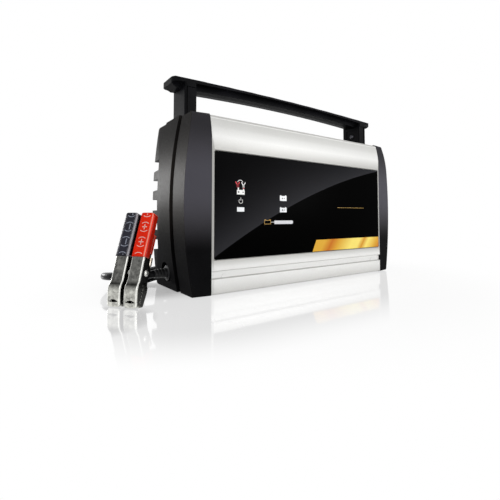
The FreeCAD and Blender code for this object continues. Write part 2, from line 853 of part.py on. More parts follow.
def coil_tie(path):
    """Band round the cable's turns on the coil's right."""
    held = [point for point in path.discretize(2000)
            if point.x > coil_center.x and abs(point.y - coil_center.y) < tie_width / 2]
    reach = cable_diameter / 2 + tie_gap
    inner = min(point.x for point in held) - reach
    outer = max(point.x for point in held) + reach
    low = min(point.z for point in held) - reach
    high = max(point.z for point in held) + reach
    corner = cable_diameter / 2
    y = coil_center.y - tie_width / 2

    def ring(grow):
        radius = corner + grow
        x0, x1, z0, z1 = inner - grow, outer + grow, low - grow, high + grow
        bulge = quarter(radius)
        return prism(on_front(y), V(0, tie_width, 0),
                     (x0 + radius, z0), (x1 - radius, z0), (x1, z0 + radius, bulge), (x1, z1 - radius),
                     (x1 - radius, z1, bulge), (x0 + radius, z1), (x0, z1 - radius, bulge),
                     (x0, z0 + radius), (x0 + radius, z0, bulge))
    return ring(tie_thickness).cut(ring(0.0))


def lead_splitter():
    """Moulded body where the cable divides into the two leads."""
    start = tail_route[-1]
    sections = []
    neck = cable_diameter / 2 + relief_end_wall
    for along, half_width, half_high in ((0.0, neck, neck), (5.0, neck + 0.4, neck + 0.4),
                                         (splitter_length - 8.0, 7.0, 4.8), (splitter_length, 6.4, 3.6)):
        x = start.x - along
        corner = half_high * 0.98
        side = half_width - corner
        bulge = quarter(corner)
        y, z = start.y, start.z
        face = outline(on_side(x), (y - side - 0.01, z - corner), (y + side + 0.01, z - corner),
                       (y + side + corner, z, bulge), (y + side + 0.01, z + corner, bulge),
                       (y - side - 0.01, z + corner), (y - side - corner, z, bulge),
                       (y - side - 0.01, z - corner, bulge))
        sections.append(face.OuterWire)
    return Part.makeLoft(sections, True, True)


# Battery clamps: two pressed channels that nest at a rivet, with a torsion spring round it
def along_floor(d, height=0.0):
    """Where a line at this d meets a height above the floor, measured up the clamp."""
    lean = radians(clamp_lean)
    return (height + d * sin(lean)) / cos(lean)


# Side view of each arm's web, as (s, d) stations from its tip up
front_web = [(0.0, -3.0), (3.2, -4.4), (9.0, -6.6), (15.0, -8.2), (18.0, -8.3), (23.5, -6.7),
             (sleeve_start, -7.3), (clamp_length, -6.6)]
rear_web = [(0.0, 5.6), (3.2, 7.2), (14.5, 9.0), (19.5, 8.8), (26.0, 7.6), (lug_start, 7.3), (48.0, 7.5),
            (rear_length, 8.3)]


def web_at(web, s):
    for (s0, d0), (s1, d1) in zip(web, web[1:]):
        if s <= s1:
            return d0 + (d1 - d0) * (s - s0) / (s1 - s0)
    return web[-1][1]


def channel(stations, grow, reach):
    """Lofted block whose web side is rounded. Stations are (s, web d, half width).

    Reach is where its open side ends.
    """
    sections = []
    side = 1 if reach > stations[0][1] else -1
    radius = max(clamp_round + grow, 0.3)
    for s, web, half_width in stations:
        w = half_width + grow
        d = web - grow * side
        bulge = quarter(radius) * side
        face = outline(on_plan(s), (-w, reach), (-w, d + radius * side), (-w + radius, d, bulge),
                       (w - radius, d), (w, d + radius * side, bulge), (w, reach))
        sections.append(face.OuterWire)
    return Part.makeLoft(sections, True, True)


def side_prism(*points):
    """Side view of a clamp piece, points (d, s), through its whole width."""
    return prism(on_side(-20), V(40, 0, 0), *points)


def teeth(offset, top):
    """Zigzag edge of a jaw from its top down, as (d, s) points."""
    points = []
    for index in range(tooth_count):
        high = top - index * tooth_pitch
        points.append((offset - tooth_height / 2, high))
        points.append((offset + tooth_height / 2, high - tooth_pitch / 2))
    points.append((offset - tooth_height / 2, top - tooth_count * tooth_pitch))
    return points


def stations_for(web, widths, ends):
    """Stations at each kink of the web and of the width, between two ends."""
    marks = sorted({s for s, _ in web} | {s for s, _ in widths} | set(ends))
    return [(s, web_at(web, s), web_at(widths, s)) for s in marks if ends[0] <= s <= ends[1]]


# Half width of each arm, as (s, half width) stations
front_widths = [(-3.0, jaw_width / 2), (17.5, jaw_width / 2), (21.5, clamp_width / 2),
                (clamp_length, clamp_width / 2)]
rear_widths = [(-3.0, jaw_width / 2), (19.0, jaw_width / 2), (23.0, rear_ear_width / 2),
               (38.5, rear_ear_width / 2), (43.0, rear_handle_width / 2), (clamp_length, rear_handle_width / 2)]


def pressed(web, widths, top, open_side, silhouette):
    """Pressed channel of one thickness, trimmed to its side view."""
    body = channel(stations_for(web, widths, (0.0, top)), 0.0, open_side)
    void = channel(stations_for(web, widths, (0.0, top)), -clamp_sheet, open_side * 1.5)
    return body.cut(void).common(side_prism(*silhouette))


def rounded_toe():
    """Front view of an arm, whose lowest corners are round."""
    side = jaw_width / 2
    corner = toe_corner
    low = -0.3
    return prism(on_front(-20), V(0, 40, 0),
                 (-side - 2, clamp_length + 2), (-side - 2, low + corner), (-side, low + corner),
                 (-side + corner, low, quarter(corner)), (-side + corner, low - 1), (side - corner, low - 1),
                 (side - corner, low), (side, low + corner, quarter(corner)), (side + 2, low + corner),
                 (side + 2, clamp_length + 2))


def clamp_front_arm():
    edge = web_at(front_web, sleeve_start) + handle_flange
    tip = along_floor(-2.2, front_tip_lift)
    silhouette = [(-12, along_floor(-12, front_tip_lift)), (-tip_gap, tip)]
    silhouette += teeth(-jaw_gap / 2, jaw_top)[::-1]
    silhouette += [(-jaw_gap / 2 - 0.8, jaw_top + 3.5), (pivot_d + 3.2, jaw_top + 7.6),
                   (pivot_d + ear_radius, pivot_s - 3.0), (pivot_d + ear_radius, pivot_s + 3.0, 0.7),
                   (pivot_d + 3.2, pivot_s + 8.0), (edge, sleeve_start - 1.0),
                   (edge + 0.7, clamp_length), (-12, clamp_length)]
    arm = pressed(front_web, front_widths, clamp_length - sleeve_cap, 14.0, silhouette)
    hole = rod(rivet_radius + rivet_gap, V(-20, pivot_d, pivot_s), V(20, pivot_d, pivot_s))
    slot = prism(on_front(-20), V(0, 18, 0), (-slot_half, slot_level), (slot_half, slot_level, 0.5),
                 (-slot_half, slot_level, 2.0))
    return arm.cut([hole, slot]).common(rounded_toe())


def clamp_rear_arm():
    silhouette = [(14, clamp_length), (14, along_floor(14)), (tip_gap, along_floor(tip_gap))]
    silhouette += teeth(jaw_gap / 2, jaw_top)[::-1]
    silhouette += [(jaw_gap / 2 + 0.4, jaw_top + 2.5), (-3.2, jaw_top + 7.6), (-4.4, pivot_s - 3.0),
                   (-4.4, pivot_s + 3.0, -0.6), (-2.8, pivot_s + 7.0),
                   (web_at(rear_web, 48.0) - rear_handle_flange, 46.0),
                   (web_at(rear_web, rear_length) - rear_handle_flange, clamp_length)]
    arm = pressed(rear_web, rear_widths, rear_length - sleeve_cap, -14.0, silhouette)
    hole = rod(rivet_radius, V(-20, pivot_d, pivot_s), V(20, pivot_d, pivot_s))
    return arm.cut(hole).common(rounded_toe())


def grip_sleeve(web, widths, start, top, thickness, open_side, flange):
    """Moulded grip over the outside of a handle, closed over its top end."""
    steel_top = top - sleeve_cap
    outer = channel(stations_for(web, widths, (start, top)), thickness, open_side)
    steel = channel(stations_for(web, widths, (start, steel_top)), sleeve_gap, open_side * 1.5)
    side = 1 if open_side > 0 else -1
    low = web_at(web, start) + side * flange
    high = web_at(web, top) + side * flange
    corner = 3.4
    width = widths[-1][1] + thickness
    keep_side = side_prism((low, start), (high, top), (-side * 14, top), (-side * 14, start))
    keep_front = prism(on_front(-20), V(0, 40, 0), (-width - 1, start), (width + 1, start),
                       (width + 1, top - corner), (width, top - corner),
                       (width - corner, top, quarter(corner)), (-width + corner, top),
                       (-width, top - corner, quarter(corner)), (-width - 1, top - corner))
    return outer.cut(steel).common(keep_side).common(keep_front)


def clamp_rivet():
    outside = clamp_width / 2 + 0.1
    head = outside + rivet_head
    center = V(0, pivot_d, pivot_s)
    return turned(center, V(1, 0, 0), (-head, 0), (-head, rivet_head_radius * 0.55),
                  (-outside - rivet_head * 0.5, rivet_head_radius * 0.9), (-outside, rivet_head_radius),
                  (-outside, rivet_radius), (outside, rivet_radius), (outside, rivet_head_radius),
                  (outside + rivet_head * 0.5, rivet_head_radius * 0.9), (head, rivet_head_radius * 0.55),
                  (head, 0))


def spring_point(angle):
    """Place on the spring, whose wire starts towards the front web and winds along the rivet."""
    x = spring_pitch * (angle / (2 * pi) - spring_turns / 2)
    return V(x, pivot_d - spring_radius * cos(angle), pivot_s - spring_radius * sin(angle))


def spring_leg(web, side):
    """Length of a leg that leans out from the coil until its end bears on the inside of a web."""
    splay = radians(spring_splay)
    start = pivot_d + side * spring_radius * cos(splay)
    level = pivot_s - spring_radius * sin(splay)
    length = 0.0
    for _ in range(6):
        inside = clamp_sheet + spring_wire / 2 + spring_seat
        seat = web_at(web, level + length * cos(splay)) - side * inside
        length = side * (seat - start) / sin(splay)
    return length


def clamp_spring():
    half_turns = int(round(spring_turns * 2))
    splay = radians(spring_splay)
    angles = [splay] + [index * pi for index in range(1, half_turns)] + [half_turns * pi - splay]
    points = []
    headings = []
    for angle in angles:
        points.append(spring_point(angle))
        heading = spring_point(angle + 0.02) - spring_point(angle - 0.02)
        if angle in (angles[0], angles[-1]):
            heading = V(0, heading.y, heading.z)
        headings.append(heading.normalize())
    front_leg = spring_leg(front_web, -1)
    path = wound(points, headings, front_leg, spring_leg(rear_web, 1))
    print("clamp_spring least gap to itself", round(least_gap(path, spring_wire), 2))
    start = points[0] - headings[0] * front_leg
    return tube("clamp_spring", path, spring_wire, start, headings[0])


def clamp_lug():
    """Crimped barrel on the back of the rear arm, with a tongue along the web."""
    web = web_at(rear_web, lug_start + lug_length / 2)
    center = web + lug_radius + lug_wall / 2
    barrel = rod(lug_radius, V(0, center, lug_start), V(0, center, lug_start + lug_length))
    tongue = block(-2.4, 2.4, web + 0.05, web + 0.05 + lug_wall, lug_start - 9.0, lug_start + lug_length)
    lug = fuse(barrel, tongue)
    body = side_prism((web_at(rear_web, 30.0) + 0.1, 30.0), (web_at(rear_web, lug_start) + 0.05, lug_start),
                      (web_at(rear_web, 48.0) + 0.1, 48.0), (20, 48.0), (20, 30.0))
    return lug.common(body)


def placed(shape, index):
    """A clamp piece at its place, the black clamp at index 0 and the red one at index 1."""
    turn = FreeCAD.Rotation(V(0, 0, 1), clamp_turn)
    lean = FreeCAD.Rotation(V(1, 0, 0), -clamp_lean)
    across = turn.multVec(V(clamp_pitch * index, 0, 0))
    copy = shape.copy()
    copy.Placement = FreeCAD.Placement(clamp_place + across, turn.multiply(lean))
    return copy


# Power circuit
def base_tray():
    x = half - 8
    y0 = parting + 2
    y1 = inner_rear - (rear_corner_round - wall)
    z = inner_floor
    plate = block(-x, x, y0, y1, z, z + tray_thickness)
    wall_rear = block(-x, x, y1 - tray_thickness, y1, z, z + tray_rise)
    pads = [block(sx * boss_x - 8, sx * boss_x + 8, y0 - 1, y1 + 1, boss_z_inset - tube_radius - 0.5,
                  z + tray_rise + 5) for sx in (-1, 1)]
    return fuse(plate, wall_rear).cut(pads)


tray_top = inner_floor + tray_thickness
board_x0 = core_x + core_length / 2 + board_to_core
board_x1 = half - board_from_end
board_y1 = inner_rear - 4
board_y0 = board_y1 - main_board_width
board_low = tray_top + standoff_height
board_top = board_low + board_thickness
board_holes = [(x, y) for x in (board_x0 + board_hole_inset, board_x1 - board_hole_inset)
               for y in (board_y0 + board_hole_inset, board_y1 - board_hole_inset)]


def main_board():
    board = pillar(board_x0, board_x1, board_y0, board_y1, board_low, board_top, 2.0)
    return board.cut([rod(1.6, V(x, y, board_low - 1), V(x, y, board_top + 1)) for x, y in board_holes])


def board_standoffs():
    posts = []
    for x, y in board_holes:
        post = rod(standoff_radius, V(x, y, tray_top), V(x, y, board_low))
        posts.append(post.cut(rod(1.3, V(x, y, board_low - 6), V(x, y, board_low + 1))))
    return posts


def board_screws():
    screws = []
    for x, y in board_holes:
        screws.append(turned(V(x, y, board_top), V(0, 0, -1), (-1.8, 0), (-1.8, 1.6), (-1.0, 2.7), (0, 2.8),
                             (0, 1.3), (7.0, 1.3), (7.0, 0)))
    return screws


def transformer():
    """Laminated core with its two windows, and the wound bobbin on its middle leg."""
    y = inner_rear - 8 - 26
    x0 = core_x - core_length / 2
    x1 = core_x + core_length / 2
    low = tray_top
    window = (core_length - 4 * core_leg) / 2
    window_low = low + core_leg
    core = block(x0, x1, y - core_stack / 2, y + core_stack / 2, low, low + core_height)
    cuts = []
    for start in (x0 + core_leg, x1 - core_leg - window):
        cuts.append(block(start, start + window, y - 50, y + 50, window_low, window_low + core_window_height))
    core = core.cut(cuts)
    gap = coil_clearance
    inner_x = core_leg + gap
    inner_y = core_stack / 2 + gap
    outer_x = core_leg + window - gap
    outer_y = inner_y + 10
    z0 = window_low + gap
    z1 = window_low + core_window_height - gap
    coil = pillar(core_x - outer_x + 1, core_x + outer_x - 1, y - outer_y + 1, y + outer_y - 1, z0, z1, 4.0)
    rims = []
    for z in (z0, z1 - 1.5):
        rims.append(pillar(core_x - outer_x, core_x + outer_x, y - outer_y, y + outer_y, z, z + 1.5, 4.0))
    hole = block(core_x - inner_x, core_x + inner_x, y - inner_y, y + inner_y, z0 - 1, z1 + 1)
    return core, fuse(coil, *rims).cut(hole)


def can(x, y, radius, height):
    """Capacitor can with the crimp near its base."""
    return turned(V(x, y, board_top), V(0, 0, 1), (0, 0), (0, radius), (1.8, radius), (2.6, radius - 0.6),
                  (3.4, radius), (height - 0.8, radius), (height, radius - 0.8), (height, 0))


def input_choke():
    """Ring core standing on its edge, with a raised winding on each half."""
    x = board_x0 + 20
    y = board_y0 + 10
    z = board_top + choke_radius + 0.2
    middle = V(x, y, z)

    def ring(outside, inside, width):
        chamfer = 0.8
        return turned(middle, V(0, 1, 0), (-width, inside + chamfer), (-width, outside - chamfer),
                      (chamfer - width, outside), (width - chamfer, outside), (width, outside - chamfer),
                      (width, inside + chamfer), (width - chamfer, inside), (chamfer - width, inside),
                      (-width, inside + chamfer))
    core = ring(choke_radius - 1.2, choke_radius - 5.4, 3.0)
    winding = ring(choke_radius, choke_radius - 6.6, 4.2)
    breaks = block(x - choke_break, x + choke_break, y - 9, y + 9,
                   z - choke_radius - 1, z + choke_radius + 1)
    return fuse(core, winding.cut(breaks))


def heat_sink(x, y, toward):
    """Finned extrusion standing on the board, its fins away from the parts that it cools."""
    back = 3.0
    z0 = board_top + 0.2
    z1 = z0 + sink_height
    plate = block(x, x + sink_length, min(y, y + toward * back), max(y, y + toward * back), z0, z1)
    fins = []
    spacing = (sink_length - 2.0) / (sink_fins - 1)
    for index in range(sink_fins):
        start = x + spacing * index
        fins.append(block(start, start + 2.0, min(y, y + toward * 14), max(y, y + toward * 14), z0, z1))
    return fuse(plate, *fins)


def power_device(x, y, toward):
    """Plastic body with a metal tab and three legs, standing against a heat sink."""
    z = board_top + 14
    face = y - toward * 0.2
    body = block(x - 5, x + 5, min(face, face - toward * 4.4), max(face, face - toward * 4.4), z, z + 9)
    tab = block(x - 5, x + 5, min(face, face - toward * 1.3), max(face, face - toward * 1.3), z + 9, z + 15)
    tab = tab.cut(rod(1.8, V(x, y - 9, z + 12), V(x, y + 9, z + 12)))
    legs = []
    for offset in (-2.5, 0, 2.5):
        legs.append(block(x + offset - 0.5, x + offset + 0.5, min(face - toward * 2.6, face - toward * 3.3),
                          max(face - toward * 2.6, face - toward * 3.3), board_top, z))
    return fuse(body, tab, *legs)


sink_y = board_y1 - 15
sink_x = board_x0 + 36
output_sink_y = board_y0 + 15.5
output_sink_x = board_x0 + 70


def line_fuse():
    x = board_x0 + 10
    y = board_y0 + 24
    z = board_top + 5.6
    return turned(V(x, y, z), V(1, 0, 0), (0, 0), (0, 2.6), (5, 2.6), (5, 2.3), (15, 2.3), (15, 2.6),
                  (20, 2.6), (20, 0))


def fuse_clips():
    clips = []
    for x in (board_x0 + 10.5, board_x0 + 25.0):
        y = board_y0 + 24
        clip = block(x, x + 4.5, y - 3.6, y + 3.6, board_top, board_top + 8)
        clip = clip.cut([rod(2.65, V(x - 1, y, board_top + 5.6), V(x + 6, y, board_top + 5.6)),
                         block(x - 1, x + 6, y - 1.8, y + 1.8, board_top + 6, board_top + 10),
                         block(x - 1, x + 6, y - 2.9, y + 2.9, board_top + 0.7, board_top + 2.4)])
        clips.append(clip)
    return clips


def polarity_relay():
    x = board_x0 + 47
    y = board_y0 + 14
    body = pillar(x - 9, x + 9, y - 7.5, y + 7.5, board_top + 1, board_top + 16, 1.2)
    pins = [block(x + px - 0.5, x + px + 0.5, y + py - 0.5, y + py + 0.5, board_top, board_top + 1.2)
            for px in (-6, 6) for py in (-5, 5)]
    return fuse(body, *pins)


def output_terminals():
    tabs = []
    for index in range(2):
        x = board_x0 + 110 + index * 9
        y = board_y0 + 40
        foot = block(x - 3.2, x + 3.2, y - 2.5, y + 2.5, board_top, board_top + 1)
        blade = block(x - 3.2, x + 3.2, y - 0.4, y + 0.4, board_top, board_top + 11)
        tabs.append(fuse(foot, blade).cut(rod(0.9, V(x, y - 5, board_top + 8), V(x, y + 5, board_top + 8))))
    return tabs


# Display board behind the label, with a lamp under each window
display_y = front + label_recess + wall + 6.0
display_x0 = -half + 22.0
display_z0 = label_low + 16.0


def display_board():
    return block(display_x0, display_x0 + display_board_length, display_y, display_y + board_thickness,
                 display_z0, display_z0 + display_board_height)


def display_pegs():
    """Pegs of the front cover that carry the display board."""
    pegs = []
    for x in (display_x0 + 4, display_x0 + display_board_length - 4):
        for z in (display_z0 + 4, display_z0 + display_board_height - 4):
            pegs.append(rod(3.0, V(x, front + label_recess + wall / 2, z), V(x, display_y, z)))
    return pegs


def indicator_leds():
    """Small lamps on the display board, whose domes reach into the cover's windows."""
    lamps = []
    reach = display_y - (front + label_recess + 0.6)
    for left, low, width, height in window_sizes:
        foot = V(left - label_half + width / 2, display_y, low + label_low + height / 2)
        lamps.append(turned(foot, V(0, -1, 0), (0, 0), (0, led_flange_radius), (1.0, led_flange_radius),
                            (1.0, led_radius), (reach - 1.4, led_radius), (reach - 0.5, led_radius * 0.75),
                            (reach, 0)))
    return lamps


def indicator_lenses():
    back = front + label_recess
    return windows(back - label_thickness, back, lens_gap)


def controller_chip():
    x = display_x0 + 74
    z = display_z0 + 30
    y = display_y + board_thickness
    body = block(x - 7, x + 7, y + 0.4, y + 2.6, z - 7, z + 7)
    legs = []
    for index in range(8):
        offset = -5.6 + 1.6 * index
        legs.append(block(x - 9, x + 9, y, y + 0.8, z + offset - 0.3, z + offset + 0.3))
    return fuse(body, *legs)


def ribbon_cable():
    """Flat cable from the back of the display board down to the main board."""
    y0 = display_y + board_thickness
    y1 = board_y0 + 4
    z0 = display_z0 + 8
    width = 18.0
    thin = 0.8
    x = board_x0 + 2 * board_hole_inset + 1
    bend_y = y0 + (y1 - y0) * 0.6
    strip = outline(on_side(x), (y0, z0), (y0, z0 + thin), (bend_y, z0 + thin - 6),
                    (y1 + thin / 2, board_top + 14), (y1 + thin / 2, board_top), (y1 - thin / 2, board_top),
                    (y1 - thin / 2, board_top + 13.7), (bend_y - thin / 2, z0 - 6))
    return strip.extrude(V(width, 0, 0))


# Build every node
right_cap = end_cap()
transformer_core, transformer_coil = transformer()
cover = front_cover()
cover = fuse(cover, *display_pegs())
cover = cover.cut(windows(front - 1, front + label_recess + wall + 1, 0.0))

save("front_cover", cover)
save("rear_cover", rear_cover())
save("right_end_cap", right_cap)
save("left_end_cap", mirrored(right_cap))
save("label_panel", label_panel())
save("indicator_lenses", *indicator_lenses())
save("handle", handle())
save("handle_screws", *handle_screws())
save("case_screws", *case_screws())
save("feet", *feet())
save("dc_gland_ring", dc_gland_ring())
save("dc_strain_relief", dc_strain_relief())
save("ac_bushing", ac_bushing())

save("base_tray", base_tray())
save("main_board", main_board())
save("board_standoffs", *board_standoffs())
save("board_screws", *board_screws())
save("transformer_core", transformer_core)
save("transformer_coil", transformer_coil)
save("input_choke", input_choke())
save("bulk_capacitors", can(board_x0 + 14, board_y0 + 42, 7.5, 26),
     can(board_x0 + 33, board_y0 + 40, 7.5, 26))
save("output_capacitors", *[can(board_x0 + 60 + 13 * index, board_y0 + 34, 5.0, 20) for index in range(3)])
save("primary_heat_sink", heat_sink(sink_x, sink_y + 1, 1))
save("power_transistors", power_device(sink_x + 14, sink_y + 1, 1), power_device(sink_x + 32, sink_y + 1, 1))
save("secondary_heat_sink", heat_sink(output_sink_x, output_sink_y, -1))
save("rectifier_diodes", power_device(output_sink_x + 12, output_sink_y, -1),
     power_device(output_sink_x + 32, output_sink_y, -1))
save("polarity_relay", polarity_relay())
save("line_fuse", line_fuse())
save("fuse_clips", *fuse_clips())
save("output_terminals", *output_terminals())
save("display_board", display_board())
save("indicator_leds", *indicator_leds())
save("controller_chip", controller_chip())
save("ribbon_cable", ribbon_cable())

save("dc_cord", cord("dc_cord", cable_route, cable_diameter))
coil_line, coil = cable_coil()
save("dc_cord_coil", coil)
save("dc_cord_tail", cord("dc_cord_tail", tail_route, cable_diameter))
save("coil_tie", coil_tie(coil_line))
save("lead_splitter", lead_splitter())
save("black_lead", cord("black_lead", black_lead_route, lead_diameter))
save("red_lead", cord("red_lead", red_lead_route, lead_diameter))

front_arm = clamp_front_arm()
rear_arm = clamp_rear_arm()
front_sleeve = grip_sleeve(front_web, front_widths, sleeve_start, clamp_length, sleeve_wall, 14.0,
                           handle_flange)
rear_sleeve = grip_sleeve(rear_web, rear_widths, rear_sleeve_start, rear_length, rear_sleeve_wall, -14.0,
                          rear_handle_flange)
rivet = clamp_rivet()
spring = clamp_spring()
lug = clamp_lug()
for index, color in enumerate(("black", "red")):
    save(color + "_clamp_front_arm", placed(front_arm, index))
    save(color + "_clamp_rear_arm", placed(rear_arm, index))
    save(color + "_clamp_front_sleeve", placed(front_sleeve, index))
    save(color + "_clamp_rear_sleeve", placed(rear_sleeve, index))
    save(color + "_clamp_rivet", placed(rivet, index))
    save(color + "_clamp_spring", placed(spring, index))
    save(color + "_clamp_lug", placed(lug, index))
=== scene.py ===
import logging
import math
from dataclasses import dataclass, field
from enum import Enum
from functools import partial
from typing import Any, Callable, Sequence

import bmesh
import bpy
from mathutils import Matrix, Vector


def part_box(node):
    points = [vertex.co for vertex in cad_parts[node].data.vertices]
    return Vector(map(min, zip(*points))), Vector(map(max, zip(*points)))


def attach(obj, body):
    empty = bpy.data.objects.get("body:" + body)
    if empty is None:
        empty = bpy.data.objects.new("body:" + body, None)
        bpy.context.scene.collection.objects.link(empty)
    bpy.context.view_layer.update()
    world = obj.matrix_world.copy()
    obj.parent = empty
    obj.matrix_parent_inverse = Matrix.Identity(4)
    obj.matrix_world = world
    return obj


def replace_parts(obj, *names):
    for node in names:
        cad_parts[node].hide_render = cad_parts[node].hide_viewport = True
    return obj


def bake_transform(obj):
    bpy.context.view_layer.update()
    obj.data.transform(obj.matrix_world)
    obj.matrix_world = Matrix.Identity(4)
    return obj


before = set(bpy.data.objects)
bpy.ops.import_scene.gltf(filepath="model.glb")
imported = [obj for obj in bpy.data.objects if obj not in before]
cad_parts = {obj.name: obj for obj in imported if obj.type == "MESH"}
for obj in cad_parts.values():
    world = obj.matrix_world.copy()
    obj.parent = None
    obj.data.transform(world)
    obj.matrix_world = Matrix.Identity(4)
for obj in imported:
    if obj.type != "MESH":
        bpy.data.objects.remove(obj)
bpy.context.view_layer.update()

LOG = logging.getLogger("charger")
MM = 0.001
METRE = 1000.0
WHITE = "#ffffff"
NOISE_SPAN = (0.3, 0.7)
# The greatest share of a painted highlight along a rounded edge.
BRIGHTEST_HIGHLIGHT = 0.9
MENUS = {"Math": "operation", "VectorMath": "operation", "Mix": "data_type",
         "MapRange": "interpolation_type"}

Point = tuple[float, float]
Spot = tuple[float, float, float]
Route = tuple[Spot, ...]
Span = tuple[float, float, float, float]
Place = Callable[[float, float, float], Vector]
Looks = dict[str, Any]
Tree = bpy.types.NodeTree
Node = bpy.types.Node
Socket = bpy.types.NodeSocket
Adder = Callable[..., Node]


class Body(Enum):
    """The rigid bodies that pieces ride on."""

    CASE = "root"
    BLACK_FRONT_ARM = "black_clamp_front"
    RED_FRONT_ARM = "red_clamp_front"


class Polarity(Enum):
    """Which battery post a clamp belongs on."""

    NEGATIVE = "black"
    POSITIVE = "red"

    @property
    def body(self) -> Body:
        """The body that this clamp's front arm belongs to."""
        return Body.BLACK_FRONT_ARM if self is Polarity.NEGATIVE else Body.RED_FRONT_ARM


class Line(Enum):
    """How a line follows its points: smoothly inside them, or straight from one to the next."""

    SMOOTH = "NURBS"
    STRAIGHT = "POLY"


def linear(code: str) -> tuple[float, float, float, float]:
    """Turn an sRGB colour into the linear one that shaders use.

    Args:
        code: The colour as "#rrggbb".

    Returns:
        Red, green, blue and an alpha of 1.
    """
    parts = [int(code[at:at + 2], 16) / 255 for at in (1, 3, 5)]
    red, green, blue = (v / 12.92 if v <= 0.04045 else ((v + 0.055) / 1.055) ** 2.4 for v in parts)
    return red, green, blue, 1.0


def feed(node: Node, *inputs: Any) -> None:
    """Fill a node's inputs, where a text is a colour and a node stands for its first output in use.

    Args:
        node: The node.
        *inputs: What goes into its sockets in use, in their order, or one dictionary of it by name.
    """
    if inputs and isinstance(inputs[0], dict):
        pairs = [(node.inputs[name], value) for name, value in inputs[0].items()]
    else:
        pairs = list(zip([socket for socket in node.inputs if socket.enabled], inputs))
    for socket, value in pairs:
        if isinstance(value, Node):
            value = next(output for output in value.outputs if output.enabled)
        if isinstance(value, Socket):
            node.id_data.links.new(value, socket)
        else:
            socket.default_value = linear(value) if isinstance(value, str) else value


def add_node(tree: Tree, kind: str, *inputs: Any, **settings: Any) -> Node:
    """Add a shader node with its settings, values and links.

    Args:
        tree: The material's node tree.
        kind: The node's type, without its ShaderNode prefix, and behind a colon the choice in its menu.
        *inputs: What goes into it, as feed takes it.
        **settings: Other properties of the node itself.

    Returns:
        The new node.
    """
    kind, _, choice = kind.partition(":")
    node = tree.nodes.new("ShaderNode" + kind)
    if choice:
        setattr(node, MENUS[kind], choice)
    for name, value in settings.items():
        setattr(node, name, value)
    feed(node, *inputs)
    return node


def seen_directly(add: Adder) -> Node:
    """Tell the rays that show a surface, camera, glossy and transmission, from those that light others.

    Args:
        add: What adds a node to the material or the world.

    Returns:
        The node whose value is 1 for a ray that shows the surface.
    """
    path = add("LightPath").outputs
    either = add("Math:MAXIMUM", path["Is Camera Ray"], path["Is Glossy Ray"])
    return add("Math:MAXIMUM", either, path["Is Transmission Ray"])


def two_tones(add: Adder, noise: Node, limits: Point, tone: str, other: str) -> Node:
    """Mix another tone into the first in patches, which start and are full at two limits of a noise."""
    share = add("MapRange", noise, *limits)
    return add("Mix:RGBA", share, tone, other)


def set_stops(ramp: Node, *stops: tuple[float, str]) -> None:
    """Give a colour ramp its stops.

    Args:
        ramp: The colour ramp.
        *stops: The place and the colour of each, in order, the first at 0 and the last at 1.
    """
    points = ramp.color_ramp.elements
    points[0].color = linear(stops[0][1])
    points[-1].color = linear(stops[-1][1])
    for at, code in stops[1:-1]:
        points.new(at).color = linear(code)


def aside(add: Adder, across: Spot) -> Node:
    """Say how squarely a surface faces along a direction, either way.

    Args:
        add: What adds a node to the material.
        across: The direction.

    Returns:
        The node whose value is 1 where the surface faces that way, and 0 where it lies along it.
    """
    normal = add("NewGeometry").outputs["Normal"]
    lean = add("VectorMath:DOT_PRODUCT", normal, across)
    return add("Math:ABSOLUTE", lean)


def edge_highlight(add: Adder, turned: Node, middle: float, reach: float, full: float) -> Node:
    """Say how strong the painted highlight along a rounded edge is.

    Args:
        add: What adds a node to the material.
        turned: How far the surface has turned.
        middle: The turn at the middle of the round.
        reach: How far from there the painted highlight starts.
        full: How far from there it is full.

    Returns:
        The node with the share of the painted highlight's tone, up to its greatest share.
    """
    past = add("Math:SUBTRACT", turned, middle)
    off = add("Math:ABSOLUTE", past)
    return add("MapRange:SMOOTHSTEP", off, reach, full, 0.0, BRIGHTEST_HIGHLIGHT)


def put(name: str, data: bpy.types.ID) -> bpy.types.Object:
    """Make an object of some data and put it into the scene.

    Args:
        name: The object's name.
        data: Its mesh, curve, lamp or camera.

    Returns:
        The object.
    """
    thing = bpy.data.objects.new(name, data)
    bpy.context.scene.collection.objects.link(thing)
    return thing


# Finishes

# The grain of plastics, rubber and film, paint flakes, screen grit, tool lines and scratches are finer in
# the real materials than here, where they are drawn about a millimetre wide, so that they show.
# A span gives two values of a pattern, a height or a turn, and what the finish makes of each. A noise
# takes its place, its scale, its detail and its roughness, and most of its values lie in NOISE_SPAN.


@dataclass(frozen=True)
class Finish:
    """What every finish has: the common name of the real material."""

    name: str

    def build(self) -> bpy.types.Material:
        """Make the finished material, whose patterns follow the piece's own coordinates in metres.

        Returns:
            The material, with the finish's name.
        """
        material = bpy.data.materials.new(self.name)
        material.use_nodes = True
        add = partial(add_node, material.node_tree)
        place = add("TexCoord").outputs["Object"]
        feed(material.node_tree.nodes["Principled BSDF"], self.paint(add, place))
        return material

    def paint(self, add: Adder, place: Socket) -> Looks:
        """Add the nodes that make this finish, and say what goes into the shader."""
        raise NotImplementedError


